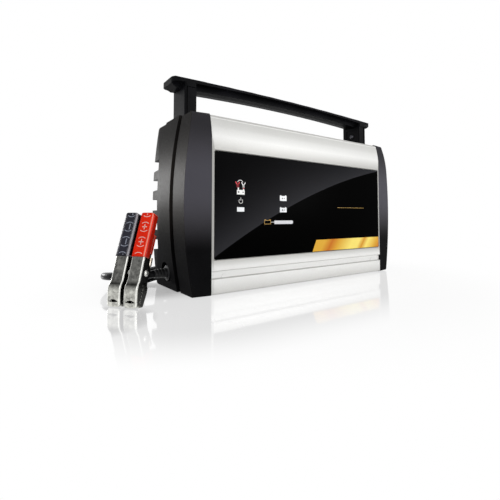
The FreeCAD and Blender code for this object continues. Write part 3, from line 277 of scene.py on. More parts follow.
@dataclass(frozen=True)
class MouldedPlastic(Finish):
    """Injection-moulded ABS whose mould was spark-eroded, which gives an even, fine grain.

    Hands polish the middle of a tall piece: there it is smoother, while its foot and its head stay dull.
    There too a painted grey sheen lightens its colour, palest on the foremost faces. The grain scatters
    light that grazes it, so it mirrors less than glass-smooth ABS would, which the low index gives.
    """

    colour: str = "#060607"
    haze: str = "#0d0d0f"
    # Painted sheen: the grey that lightens the colour at mid-height, and the paler one on the foremost
    # faces.
    sheen_tone: str = "#363330"
    front_sheen_tone: str = "#4f4e56"
    cloud_mm: float = 45.4545
    grain_mm: float = 1.5
    speck_ratio: float = 0.9
    depth_mm: float = 0.05
    edge_mm: float = 0.5
    smooth: float = 0.33
    rough: float = 0.45
    ior: float = 1.12
    dull: float = 0.0
    dull_head: float = 0.7
    sheen_share: float = 0.0
    patches: Point = (0.38, 0.72)
    forward: Point = (-0.25, -0.75)
    polish_and_sheen_mm: tuple[float, ...] = (45.0, 108.0, 125.0, 180.0)
    front_sheen_mm: Point = (-20.0, -32.0)

    def paint(self, add: Adder, place: Socket) -> Looks:
        """Make a plastic with a grain, patches of haze, a painted grey sheen at mid-height and softly
        broken edges.

        Args:
            add: What adds a node to the material.
            place: The piece's own coordinates.

        Returns:
            What goes into the shader, by the names of its inputs.
        """
        cloud = add("TexNoise", place, METRE / self.cloud_mm, 3.0)
        speck = add("TexNoise", place, self.speck_ratio * METRE / self.grain_mm, 1.0)
        cells = add("TexVoronoi", place, METRE / self.grain_mm)
        plain = two_tones(add, cloud, self.patches, self.colour, self.haze)
        grainy = add("MapRange", speck, *NOISE_SPAN, self.smooth, self.rough)
        spread = add("SeparateXYZ", place).outputs
        foot, low, high, head = (at * MM for at in self.polish_and_sheen_mm)
        below = add("MapRange:SMOOTHSTEP", spread["Z"], foot, low, 1.0, 0.0)
        above = add("MapRange:SMOOTHSTEP", spread["Z"], high, head, 0.0, self.dull_head)
        # 1 at the foot and the head: rougher there, and without the painted sheen.
        dull_no_sheen = add("Math:ADD", below, above)
        gloss = add("Math:MULTIPLY_ADD", dull_no_sheen, self.dull, grainy)
        # Painted sheen: a grey painted into the colour at mid-height, paler on the foremost faces that
        # look forward.
        sheen_amount = add("MapRange", dull_no_sheen, 0.0, 1.0, self.sheen_share, 0.0)
        sheened = add("Mix:RGBA", sheen_amount, plain, self.sheen_tone)
        facing = add("SeparateXYZ", add("NewGeometry").outputs["Normal"]).outputs
        ahead = add("MapRange", facing["Y"], *self.forward)
        foremost = add("MapRange", spread["Y"], *(at * MM for at in self.front_sheen_mm))
        front_sheen_mask = add("Math:MULTIPLY", ahead, foremost)
        highlight_share = add("Math:MULTIPLY", front_sheen_mask, sheen_amount)
        colour = add("Mix:RGBA", highlight_share, sheened, self.front_sheen_tone)
        edge = add("Bevel", self.edge_mm * MM, samples=6)
        bump = add("Bump", {"Strength": 0.5, "Distance": self.depth_mm * MM, "Height": cells,
                            "Normal": edge})
        return {"Base Color": colour, "Roughness": gloss, "Normal": bump, "IOR": self.ior}


@dataclass(frozen=True)
class SilverPaint(Finish):
    """Silver basecoat sprayed on ABS: fine aluminium flakes that lie flat under a satin clear coat.

    Where the surface leans back, close to the bench and along the label's recess, painted shade turns it
    a warmer grey. Each of the last three is given as where the shade is darkest, where it ends, and its
    share at its darkest.
    """

    colour: str = "#dadad8"
    flake: str = "#e2e2e0"
    # Painted shade: the warm grey that darkens the paint where it leans back, near its foot and beside the
    # label.
    shade_grey: str = "#989792"
    flake_mm: float = 0.9
    cloud_mm: float = 71.43
    peel_mm: float = 4.0
    edge_mm: float = 0.6
    metallic: float = 0.2
    gloss: Span = (0.0, 1.0, 0.39, 0.47)
    coat: float = 0.2
    coat_roughness: float = 0.45
    lean: Span = (0.09, 0.3, 0.0, 0.7)
    foot_mm: Spot = (2.0, 14.0, 0.5)
    over_label_mm: Spot = (153.0, 167.0, 0.75)
    under_label_mm: Spot = (37.0, 29.0, 0.75)

    def paint(self, add: Adder, place: Socket) -> Looks:
        """Make a paint whose flakes glint a little, whose surface has a slight orange peel, and which
        painted shade darkens where it leans back, near its foot and beside the label's recess.

        Args:
            add: What adds a node to the material.
            place: The piece's own coordinates.

        Returns:
            What goes into the shader, by the names of its inputs.
        """
        flakes = add("TexVoronoi", place, METRE / self.flake_mm)
        cloud = add("TexNoise", place, METRE / self.cloud_mm, 2.0)
        peel = add("TexNoise", place, METRE / self.peel_mm, 2.0)
        tone = add("SeparateColor", flakes.outputs["Color"]).outputs
        share = add("Math:MULTIPLY", tone["Red"], cloud)
        unshaded = add("Mix:RGBA", share, self.colour, self.flake)
        # Painted shade: darker where the surface leans back, near its foot, and above and below the
        # label's recess.
        facing = add("SeparateXYZ", add("NewGeometry").outputs["Normal"]).outputs
        leaning_shade = add("MapRange", facing["Z"], *self.lean)
        height = add("SeparateXYZ", place).outputs["Z"]
        foot_shade, over, under = (
            add("MapRange", height, thickest * MM, end * MM, most, 0.0)
            for thickest, end, most in (self.foot_mm, self.over_label_mm, self.under_label_mm))
        beside = add("Math:MINIMUM", over, under)
        low = add("Math:MAXIMUM", foot_shade, beside)
        shade_share = add("Math:MAXIMUM", leaning_shade, low)
        colour = add("Mix:RGBA", shade_share, unshaded, self.shade_grey)
        gloss = add("MapRange", tone["Green"], *self.gloss)
        edge = add("Bevel", self.edge_mm * MM, samples=6)
        bump = add("Bump", {"Strength": 0.12, "Distance": 0.08 * MM, "Height": peel, "Normal": edge})
        return {"Base Color": colour, "Roughness": gloss, "Normal": bump, "Metallic": self.metallic,
                "Coat Weight": self.coat, "Coat Roughness": self.coat_roughness}


@dataclass(frozen=True)
class OverlayFilm(Finish):
    """Polycarbonate label film, printed on its back: black, with a dark grey field above a long arc.

    Its velvet face has hardly any mirror, which the low index gives.
    """

    ground: str = "#010101"
    field_dark: str = "#020203"
    field_light: str = "#2f2f32"
    center_mm: Spot = (311.4, 0.0, -694.3)
    radius_mm: float = 860.5
    border_mm: Point = (-0.15, 0.25)
    fade_mm: float = 95.0
    fade_power: float = 3.0
    velvet_mm: float = 1.4
    gloss: Span = (0.3, 0.7, 0.2, 0.27)
    ior: float = 1.06
    specular: float = 0.3

    def paint(self, add: Adder, place: Socket) -> Looks:
        """Make the film, whose grey field is palest along the arc and dies away above it.

        Args:
            add: What adds a node to the material.
            place: The piece's own coordinates.

        Returns:
            What goes into the shader, by the names of its inputs.
        """
        flat = add("VectorMath:MULTIPLY", place, (1.0, 0.0, 1.0))
        reach = add("VectorMath:DISTANCE", flat, Vector(self.center_mm) * MM)
        above = add("Math:SUBTRACT", reach, self.radius_mm * MM)
        inside = add("MapRange", above, *(at * MM for at in self.border_mm))
        fade = add("MapRange", above, 0.0, self.fade_mm * MM, 1.0, 0.0)
        glow = add("Math:POWER", fade, self.fade_power)
        grey = add("Mix:RGBA", glow, self.field_dark, self.field_light)
        colour = add("Mix:RGBA", inside, self.ground, grey)
        velvet = add("TexNoise", place, METRE / self.velvet_mm, 2.0)
        gloss = add("MapRange", velvet, *self.gloss)
        bump = add("Bump", {"Strength": 0.04, "Distance": 0.05 * MM, "Height": velvet})
        return {"Base Color": colour, "Roughness": gloss, "Normal": bump, "IOR": self.ior,
                "Specular IOR Level": self.specular}


@dataclass(frozen=True)
class GoldInk(Finish):
    """Gold band of the label, a print that runs through several golds to look like polished metal."""

    pale: str = "#f6e070"
    mid: str = "#dda832"
    amber: str = "#d4901f"
    deep: str = "#c66c0c"
    run_mm: Point = (-31.4, 109.6)
    slope: float = -0.75
    grit_mm: float = 1.4286
    gloss: Span = (0.0, 1.0, 0.3, 0.42)
    ior: float = 1.25

    def paint(self, add: Adder, place: Socket) -> Looks:
        """Make diagonal streaks of light and dark gold along the band.

        Args:
            add: What adds a node to the material.
            place: The piece's own coordinates.

        Returns:
            What goes into the shader, by the names of its inputs.
        """
        slant = add("VectorMath:DOT_PRODUCT", place, (1.0, 0.0, self.slope))
        share = add("MapRange", slant, *(at * MM for at in self.run_mm))
        ramp = add("ValToRGB", share)
        set_stops(ramp, (0.0, self.mid), (0.13, self.mid), (0.23, self.deep), (0.34, self.mid),
                  (0.52, self.pale), (0.63, self.pale), (0.7, self.amber), (0.77, self.pale),
                  (0.9, self.mid), (1.0, self.deep))
        grit = add("TexNoise", place, METRE / self.grit_mm, 1.0)
        gloss = add("MapRange", grit, *self.gloss)
        return {"Base Color": ramp, "Roughness": gloss, "IOR": self.ior}


@dataclass(frozen=True)
class ZincPlatedSteel(Finish):
    """Pressed sheet steel, tumbled and zinc plated: grey and mottled, with a painted highlight on its
    rounded edges.

    Painted light makes the toe pale, and painted shade darkens the fold above it, the upper arm and the
    flanks.
    """

    # The dark tone is painted shade for the fold and the flanks, the bright one a painted highlight for
    # the rounded edges; the toe's grey is painted lighter and the arm's darker.
    dark: str = "#1c1c1b"
    bright: str = "#e9e9e4"
    toe: str = "#a9a9a3"
    arm: str = "#5e5e5b"
    spangle_mm: float = 2.2
    cloud_mm: float = 5.5
    spangle_share: float = 0.25
    scratch_mm: float = 0.7
    scratch_stretch: Spot = (1.0, 1.0, 0.15)
    edge_mm: float = 0.35
    ramp_mm: float = 50.0
    blotch: Span = (0.35, 0.85, 0.45, 1.75)
    flank: Span = (0.8, 0.97, 0.0, 0.95)
    gloss: Span = (0.3, 0.9, 0.42, 0.24)
    highlight_turn: Spot = (0.5, 0.38, 0.12)
    across: Spot = (0.61704, -0.78694, 0.0)

    def paint(self, add: Adder, place: Socket) -> Looks:
        """Make the plating with its mottle, tumbling marks, painted highlights on its rounded edges, and
        painted light and shade by height and on its flanks.

        Args:
            add: What adds a node to the material.
            place: The piece's own coordinates.

        Returns:
            What goes into the shader, by the names of its inputs.
        """
        cloud = add("TexNoise", place, METRE / self.cloud_mm, 5.0, 0.65)
        cells = add("TexVoronoi", place, METRE / self.spangle_mm)
        tone = add("SeparateColor", cells.outputs["Color"])
        mottle = add("Math:MULTIPLY_ADD", tone, self.spangle_share, cloud)
        # Painted light and shade by height: a pale toe, the darkest fold, a darker upper arm.
        height = add("SeparateXYZ", place).outputs["Z"]
        level = add("MapRange", height, 0.0, self.ramp_mm * MM)
        ramp = add("ValToRGB", level)
        set_stops(ramp, (0.0, self.toe), (0.3, self.toe), (0.42, self.dark), (0.5, self.arm),
                  (1.0, self.arm))
        blotch = add("MapRange", mottle, *self.blotch)
        plate = add("VectorMath:SCALE", ramp, blotch)
        # Painted shade on the flanks, and a painted highlight along the rounded edges.
        side = aside(add, self.across)
        flank = add("MapRange", side, *self.flank)
        shaded = add("Mix:RGBA", flank, plate, self.dark)
        highlight_share = edge_highlight(add, side, *self.highlight_turn)
        colour = add("Mix:RGBA", highlight_share, shaded, self.bright)
        stretched = add("Mapping", {"Vector": place, "Scale": self.scratch_stretch})
        marks = add("TexNoise", stretched, METRE / self.scratch_mm, 2.0)
        gloss = add("MapRange", mottle, *self.gloss)
        edge = add("Bevel", self.edge_mm * MM, samples=6)
        bump = add("Bump", {"Strength": 0.35, "Distance": 0.06 * MM, "Height": marks, "Normal": edge})
        return {"Base Color": colour, "Roughness": gloss, "Normal": bump, "Metallic": 1.0}


@dataclass(frozen=True)
class DippedVinyl(Finish):
    """PVC grip made by dipping and curing: one thick glossy skin.

    Its flanks carry painted shade, and one rounded edge a pale painted highlight.
    """

    colour: str = "#fb2e06"
    deep: str = "#ea2405"
    # Painted shade for the flanks, and a pale painted highlight for one rounded edge.
    flank_shade_tone: str = "#650804"
    pale_edge_highlight: str = "#f2a390"
    ripple_mm: float = 3.0
    worn_mm: float = 16.667
    gloss: Span = (*NOISE_SPAN, 0.16, 0.34)
    round_mm: float = 2.2
    highlight_turn: Spot = (0.4, 0.27, 0.1)
    patches: Point = (0.35, 0.7)
    flank: Span = (0.7, 0.95, 0.0, 0.75)
    ior: float = 1.25
    specular: float = 0.3
    across: Spot = (0.61704, -0.78694, 0.0)

    def paint(self, add: Adder, place: Socket) -> Looks:
        """Make a vinyl with the faint ripple that dipping leaves, dull thumb-worn patches, painted shade
        on its flanks and a painted highlight along one rounded edge.

        Args:
            add: What adds a node to the material.
            place: The piece's own coordinates.

        Returns:
            What goes into the shader, by the names of its inputs.
        """
        ripple = add("TexNoise", place, METRE / self.ripple_mm, 2.0)
        worn = add("TexNoise", place, METRE / self.worn_mm, 4.0)
        unshaded = two_tones(add, worn, self.patches, self.colour, self.deep)
        # Painted shade on the flanks, then a painted highlight along the edge that turns towards the
        # across direction.
        flank = add("MapRange", aside(add, self.across), *self.flank)
        flank_shaded = add("Mix:RGBA", flank, unshaded, self.flank_shade_tone)
        edge = add("Bevel", self.round_mm * MM, samples=8)
        turned = add("VectorMath:DOT_PRODUCT", edge, self.across)
        highlight_share = edge_highlight(add, turned, *self.highlight_turn)
        colour = add("Mix:RGBA", highlight_share, flank_shaded, self.pale_edge_highlight)
        gloss = add("MapRange", worn, *self.gloss)
        bump = add("Bump", {"Strength": 0.15, "Distance": 0.08 * MM, "Height": ripple, "Normal": edge})
        return {"Base Color": colour, "Roughness": gloss, "Normal": bump, "IOR": self.ior,
                "Specular IOR Level": self.specular}


@dataclass(frozen=True)
class TwoToned(Finish):
    """A material with a second tone in soft patches, and a gloss that follows them.

    The patches start and are full at two values of their noise, and the gloss swings between two others,
    from the roughness less the first part of its spread to the roughness and the second part.
    """

    colour: str = WHITE
    other: str = WHITE
    patch_mm: float = 1.0
    detail: float = 2.0
    patches: Point = (0.5, 0.75)
    swing: Point = (0.0, 1.0)
    roughness: float = 0.5
    spread: Point = (0.1, 0.1)

    def paint(self, add: Adder, place: Socket) -> Looks:
        """Make the patches and their gloss.

        Args:
            add: What adds a node to the material.
            place: The piece's own coordinates.

        Returns:
            What goes into the shader, by the names of its inputs.
        """
        cloud = add("TexNoise", place, METRE / self.patch_mm, self.detail)
        colour = two_tones(add, cloud, self.patches, self.colour, self.other)
        gloss = add("MapRange", cloud, *self.swing, self.roughness - self.spread[0],
                    self.roughness + self.spread[1])
        return {"Base Color": colour, "Roughness": gloss}


@dataclass(frozen=True)
class ScreenInk(TwoToned):
    """Screen-printed ink: dense, satin, and a touch thinner in places, as a screen leaves it."""

    colour: str = "#f2f2f0"
    other: str = "#dcdcda"
    patch_mm: float = 0.9
    roughness: float = 0.45
    spread: Point = (0.07, 0.07)


@dataclass(frozen=True)
class CableJacket(TwoToned):
    """Extruded PVC cable jacket: glossy, with faint patches of talc and a slightly uneven skin."""

    colour: str = "#08080a"
    other: str = "#151518"
    patch_mm: float = 9.0
    detail: float = 4.0
    patches: Point = (0.42, 0.75)
    swing: Point = NOISE_SPAN
    roughness: float = 0.2
    spread: Point = (0.05, 0.12)
    skin_mm: float = 1.25
    ior: float = 1.2

    def paint(self, add: Adder, place: Socket) -> Looks:
        """Make a jacket with cloudy patches of talc.

        Args:
            add: What adds a node to the material.
            place: The piece's own coordinates.

        Returns:
            What goes into the shader, by the names of its inputs.
        """
        skin = add("TexNoise", place, METRE / self.skin_mm, 2.0)
        bump = add("Bump", {"Strength": 0.12, "Distance": 0.05 * MM, "Height": skin})
        return super().paint(add, place) | {"Normal": bump, "IOR": self.ior}


@dataclass(frozen=True)
class Rubber(TwoToned):
    """Press-moulded rubber: deep black, nearly matt, dusty in patches, with a fine mould texture."""

    colour: str = "#0c0c0d"
    other: str = "#2a2a2b"
    patch_mm: float = 8.333
    detail: float = 5.0
    patches: Point = (0.45, 0.8)
    roughness: float = 0.62
    spread: Point = (0.12, 0.12)
    grain_mm: float = 1.1111
    ior: float = 1.2

    def paint(self, add: Adder, place: Socket) -> Looks:
        """Make a rubber that is dusty in patches.

        Args:
            add: What adds a node to the material.
            place: The piece's own coordinates.

        Returns:
            What goes into the shader, by the names of its inputs.
        """
        grain = add("TexVoronoi", place, METRE / self.grain_mm)
        bump = add("Bump", {"Strength": 0.2, "Distance": 0.06 * MM, "Height": grain})
        return super().paint(add, place) | {"Normal": bump, "IOR": self.ior}


@dataclass(frozen=True)
class ClearPart(TwoToned):
    """Clear or diffused resin and glass, a little uneven, with faint flow lines."""

    colour: str = "#f3f5f7"
    other: str = "#e2e6ea"
    patch_mm: float = 4.1667
    detail: float = 3.0
    patches: Point = (0.35, 0.7)
    roughness: float = 0.18
    spread: Point = (0.05, 0.08)
    transmission: float = 0.25
    ior: float = 1.49

    def paint(self, add: Adder, place: Socket) -> Looks:
        """Make a clear or milky part."""
        return super().paint(add, place) | {"IOR": self.ior, "Transmission Weight": self.transmission}


@dataclass(frozen=True)
class DrawnMetal(Finish):
    """Turned, drawn or extruded metal: tool lines along or round it, some darker oxide."""

    colour: str = "#b9b9b5"
    oxide: str = "#8a8a86"
    stretch: Spot = (1.0, 1.0, 12.0)
    line_mm: float = 0.9
    patch_mm: float = 7.143
    patches: Point = (0.4, 0.75)
    smooth: float = 0.22
    rough: float = 0.42

    def paint(self, add: Adder, place: Socket) -> Looks:
        """Make a metal whose tool lines run across the direction with the largest stretch.

        Args:
            add: What adds a node to the material.
            place: The piece's own coordinates.

        Returns:
            What goes into the shader, by the names of its inputs.
        """
        lines = add("Mapping", {"Vector": place, "Scale": self.stretch})
        drawn = add("TexNoise", lines, METRE / (self.line_mm * max(self.stretch)), 3.0)
        cloud = add("TexNoise", place, METRE / self.patch_mm, 4.0)
        colour = two_tones(add, cloud, self.patches, self.colour, self.oxide)
        gloss = add("MapRange", drawn, *NOISE_SPAN, self.smooth, self.rough)
        bump = add("Bump", {"Strength": 0.2, "Distance": 0.03 * MM, "Height": drawn})
        return {"Base Color": colour, "Roughness": gloss, "Normal": bump, "Metallic": 1.0}


@dataclass(frozen=True)
class CircuitBoard(Finish):
    """Glass-fibre board under green solder resist, with copper tracks showing as raised paler lines.

    The tracks' lengths and distances are given in units of unit_mm.
    """

    resist: str = "#0d4a26"
    track: str = "#1f7a3d"
    unit_mm: float = 8.8
    cloud_mm: float = 16.667
    gloss: Span = (0.0, 1.0, 0.22, 0.36)
    turn: Spot = (0.0, 0.0, 0.0)

    def paint(self, add: Adder, place: Socket) -> Looks:
        """Make tracks that run in straight lengths and end in steps.

        Args:
            add: What adds a node to the material.
            place: The piece's own coordinates.

        Returns:
            What goes into the shader, by the names of its inputs.
        """
        turned = add("Mapping", {"Vector": place, "Rotation": self.turn})
        bricks = add("TexBrick", {"Vector": turned, "Scale": METRE / self.unit_mm, "Mortar Size": 0.08,
                                  "Brick Width": 3.7, "Row Height": 0.55})
        gaps = bricks.outputs["Fac"]
        colour = add("Mix:RGBA", gaps, self.track, self.resist)
        bump = add("Bump", {"Strength": 0.4, "Distance": 0.05 * MM, "Height": gaps}, invert=True)
        cloud = add("TexNoise", place, METRE / self.cloud_mm)
        gloss = add("MapRange", cloud, *self.gloss)
        return {"Base Color": colour, "Roughness": gloss, "Normal": bump}


@dataclass(frozen=True)
class Layered(Finish):
    """Stacked or wound stock: core sheets, copper turns or flat ribbon, seen as fine parallel lines."""

    colour: str = "#4a4a4c"
    gap: str = "#17171a"
    pitch_mm: float = 1.5
    cloud_mm: float = 11.1111
    direction: Spot = (0.0, 1.0, 0.0)
    metallic: float = 0.6
    roughness: float = 0.45
    relief_mm: float = 0.15
    lines: Point = (0.15, 0.75)
    unevenness: float = 0.35
    spread: float = 0.1

    def paint(self, add: Adder, place: Socket) -> Looks:
        """Make lines at a real pitch across the given direction, each slightly off the next in tone.

        Args:
            add: What adds a node to the material.
            place: The piece's own coordinates.

        Returns:
            What goes into the shader, by the names of its inputs.
        """
        along = add("VectorMath:DOT_PRODUCT", place, self.direction)
        turns = add("Math:MULTIPLY", along, METRE / self.pitch_mm)
        saw = add("Math:PINGPONG", turns, 1.0)
        cloud = add("TexNoise", place, METRE / self.cloud_mm, 3.0)
        shade = add("Math:MULTIPLY_ADD", cloud, self.unevenness, saw)
        colour = two_tones(add, shade, self.lines, self.gap, self.colour)
        gloss = add("MapRange", cloud, 0.0, 1.0, self.roughness - self.spread,
                    self.roughness + self.spread)
        bump = add("Bump", {"Strength": 0.6, "Distance": self.relief_mm * MM, "Height": saw})
        return {"Base Color": colour, "Roughness": gloss, "Normal": bump, "Metallic": self.metallic}


@dataclass(frozen=True)
class CapacitorSleeve(Finish):
    """Heat-shrunk sleeve over an aluminium can, whose pale stripe marks the negative side."""

    sleeve: str = "#101d33"
    stripe: str = "#b9c2cc"
    top: str = "#b5b6b6"
    top_z: float = 0.0
    stripe_mm: float = 8.0
    stripe_from: float = 0.88
    crease_mm: float = 2.5
    gloss: Span = (0.0, 1.0, 0.25, 0.4)

    def paint(self, add: Adder, place: Socket) -> Looks:
        """Make a dark sleeve with stripes, and bare aluminium on top.

        Args:
            add: What adds a node to the material.
            place: The piece's own coordinates.

        Returns:
            What goes into the shader, by the names of its inputs.
        """
        spread = add("SeparateXYZ", place).outputs
        wave = add("Math:MULTIPLY", spread["X"], METRE / self.stripe_mm)
        fold = add("Math:PINGPONG", wave, 1.0)
        mark = add("Math:GREATER_THAN", fold, self.stripe_from)
        skin = add("Mix:RGBA", mark, self.sleeve, self.stripe)
        bare = add("Math:GREATER_THAN", spread["Z"], self.top_z)
        colour = add("Mix:RGBA", bare, skin, self.top)
        crease = add("TexNoise", place, METRE / self.crease_mm, 2.0)
        bump = add("Bump", {"Strength": 0.2, "Distance": 0.05 * MM, "Height": crease})
        gloss = add("MapRange", crease, *self.gloss)
        return {"Base Color": colour, "Roughness": gloss, "Normal": bump, "Metallic": bare}


@dataclass(frozen=True)
class AcrylicSheet(Finish):
    """Polished white acrylic under the object, which runs out into the white background.

    Its places and reaches are in metres.
    """

    colour: str = "#f6f6f6"
    background: Point = (0.16, 0.32)
    haze: float = 0.86
    shade_place: Spot = (-0.175, 0.015, 0.0)
    shade_reach: Point = (0.02, 0.06)
    shade: float = 0.5
    case_half: Spot = (0.165, 0.045, 1.0)
    case_reach: Point = (0.09, 0.165)
    case_polish: float = 0.22
    clamp_place: Spot = (-0.25, -0.07, 0.0)
    clamp_reach: Point = (0.03, 0.062)
    clamp_polish: float = 0.4
    smear_mm: float = 25.0
    matt: Span = (0.0, 1.0, 0.7, 0.9)
    mirror_roughness: float = 0.06

    def paint(self, add: Adder, place: Socket) -> Looks:
        """Make a sheet that mirrors faintly round the object and is plain white light far from it.

        Args:
            add: What adds a node to the material.
            place: The piece's own coordinates.

        Returns:
            What goes into the shader, by the names of its inputs.
        """
        reach = add("VectorMath:LENGTH", place)
        away = add("MapRange:SMOOTHSTEP", reach, *self.background, self.haze)
        from_shade = add("VectorMath:DISTANCE", place, self.shade_place)
        open_floor = add("MapRange:SMOOTHSTEP", from_shade, *self.shade_reach, self.shade)
        clear = add("Math:MULTIPLY", away, open_floor)
        share = add("Math:MULTIPLY", clear, seen_directly(add))
        glow = add("Emission", WHITE, 1.0)
        nodes = place.id_data.nodes
        plain = add("MixShader", share, nodes["Principled BSDF"], glow)
        side = add("VectorMath:ABSOLUTE", place)
        past = add("VectorMath:SUBTRACT", side, self.case_half)
        beyond = add("VectorMath:MAXIMUM", past, (0.0, 0.0, 0.0))
        gap = add("VectorMath:LENGTH", beyond)
        by_case = add("MapRange:SMOOTHSTEP", gap, *self.case_reach, self.case_polish, 0.0)
        clamp_gap = add("VectorMath:DISTANCE", place, self.clamp_place)
        by_clamps = add("MapRange:SMOOTHSTEP", clamp_gap, *self.clamp_reach, self.clamp_polish, 0.0)
        shine = add("Math:MAXIMUM", by_case, by_clamps)
        mirror = add("BsdfAnisotropic", WHITE, self.mirror_roughness)
        mixed = add("MixShader", shine, plain, mirror)
        feed(nodes["Material Output"], {"Surface": mixed})
        smear = add("TexNoise", place, METRE / self.smear_mm, 3.0)
        matt = add("MapRange", smear, *self.matt)
        return {"Base Color": self.colour, "Roughness": matt, "Specular IOR Level": 0.0}


# Making and placing pieces


def dress(finish: Finish, *nodes: str) -> None:
    """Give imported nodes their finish.

    Args:
        finish: The finish.
        *nodes: The nodes' names.
    """
    for node in nodes:
        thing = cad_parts[node]
        thing.data.materials.clear()
        thing.data.materials.append(finish.build())
        LOG.info("dressed %s in %s", node, finish.name)


def settle(piece: bpy.types.Object, finish: Finish, body: Body) -> bpy.types.Object:
    """Dress a new piece and let it ride on its body.

    Args:
        piece: The piece, in place.
        finish: Its finish.
        body: The body that it moves with.

    Returns:
        The piece.
    """
    piece.data.materials.append(finish.build())
    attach(piece, body.value)
    LOG.info("made %s", piece.name)
    return piece


def draw_line(name: str, kind: Line, points: Sequence[Any], thickness: float,
              roundness: int) -> bpy.types.Object:
    """Make a round line of one thickness.

    Args:
        name: The line's name.
        kind: How it follows its points.
        points: The points in metres.
        thickness: The line's diameter in metres.
        roundness: How finely its section is rounded.

    Returns:
        The curve object.
    """
    curve = bpy.data.curves.new(name, "CURVE")
    curve.dimensions = "3D"
    curve.bevel_depth = thickness / 2
    curve.bevel_resolution = roundness
    curve.use_fill_caps = True
    curve.resolution_u = 10
    spline = curve.splines.new(kind.value)
    spline.points.add(len(points) - 1)
    for target, point in zip(spline.points, points):
        target.co = (*point, 1.0)
    spline.order_u = 3
    spline.use_endpoint_u = True
    return put(name, curve)


@dataclass
class Print:
    """Flat shapes in one ink, gathered into one thin raised mesh, in millimetres."""

    name: str
    place: Place
    thickness: float = 0.05
    arc_step: float = 9.0
    fewest_steps: int = 4
    corner_steps: int = 6
    shapes: list[list[Point]] = field(default_factory=list)

    def plate(self, *points: Point) -> None:
        """Add a filled outline, anticlockwise."""
        self.shapes.append(list(points))

    def box(self, x0: float, y0: float, x1: float, y1: float) -> None:
        """Add a filled box between two corners."""
        self.plate((x0, y0), (x1, y0), (x1, y1), (x0, y1))

    def stroke(self, width: float, *points: Point) -> None:
        """Add a line of one width, with square ends.

        Args:
            width: The line's width.
            *points: The points that it runs through.
        """
        for (x0, y0), (x1, y1) in zip(points, points[1:]):
            length = math.hypot(x1 - x0, y1 - y0)
            nx = -(y1 - y0) / length * width / 2
            ny = (x1 - x0) / length * width / 2
            self.plate((x0 - nx, y0 - ny), (x1 - nx, y1 - ny), (x1 + nx, y1 + ny), (x0 + nx, y0 + ny))

    def arc(self, center: Point, radius: float, width: float, start: float, turn: float) -> None:
        """Add a part of a ring.

        Args:
            center: Middle of the ring.
            radius: Radius at the middle of its line.
            width: Width of its line.
            start: Angle of its first end in degrees, from the right, anticlockwise.
            turn: How far it goes round, in degrees.
        """
        steps = max(self.fewest_steps, int(turn / self.arc_step))
        inner = radius - width / 2
        outer = radius + width / 2
        for index in range(steps):
            a = math.radians(start + turn * index / steps)
            b = math.radians(start + turn * (index + 1) / steps)
            self.plate(*[(center[0] + r * math.cos(t), center[1] + r * math.sin(t))
                         for r, t in ((inner, a), (outer, a), (outer, b), (inner, b))])

    def bar(self, x0: float, y0: float, x1: float, y1: float, radius: float) -> None:
        """Add a filled box whose right end has round corners.

        Args:
            x0: Its left end.
            y0: Its foot.
            x1: Its right end.
            y1: Its top.
            radius: The corners' radius.
        """
        points: list[Point] = []
        for middle, begin in ((y0 + radius, -90), (y1 - radius, 0)):
            for step in range(self.corner_steps + 1):
                angle = math.radians(begin + step * 90 / self.corner_steps)
                points.append((x1 - radius + radius * math.cos(angle), middle + radius * math.sin(angle)))
        self.plate(*points, (x0, y1), (x0, y0))

    def make(self) -> bpy.types.Object:
        """Turn the shapes into one object whose faces stand a hair off the surface.

        Returns:
            The object, with no finish yet.
        """
        mesh = bpy.data.meshes.new(self.name)
        build = bmesh.new()
        for points in self.shapes:
            low = [build.verts.new(self.place(x, y, 0.0)) for x, y in points]
            high = [build.verts.new(self.place(x, y, self.thickness)) for x, y in points]
            build.faces.new(high)
            build.faces.new(low[::-1])
            for index in range(len(points)):
                after = (index + 1) % len(points)
                build.faces.new((low[index], low[after], high[after], high[index]))
        bmesh.ops.recalc_face_normals(build, faces=build.faces[:])
        build.to_mesh(mesh)
        build.free()
        return put(self.name, mesh)


# The case


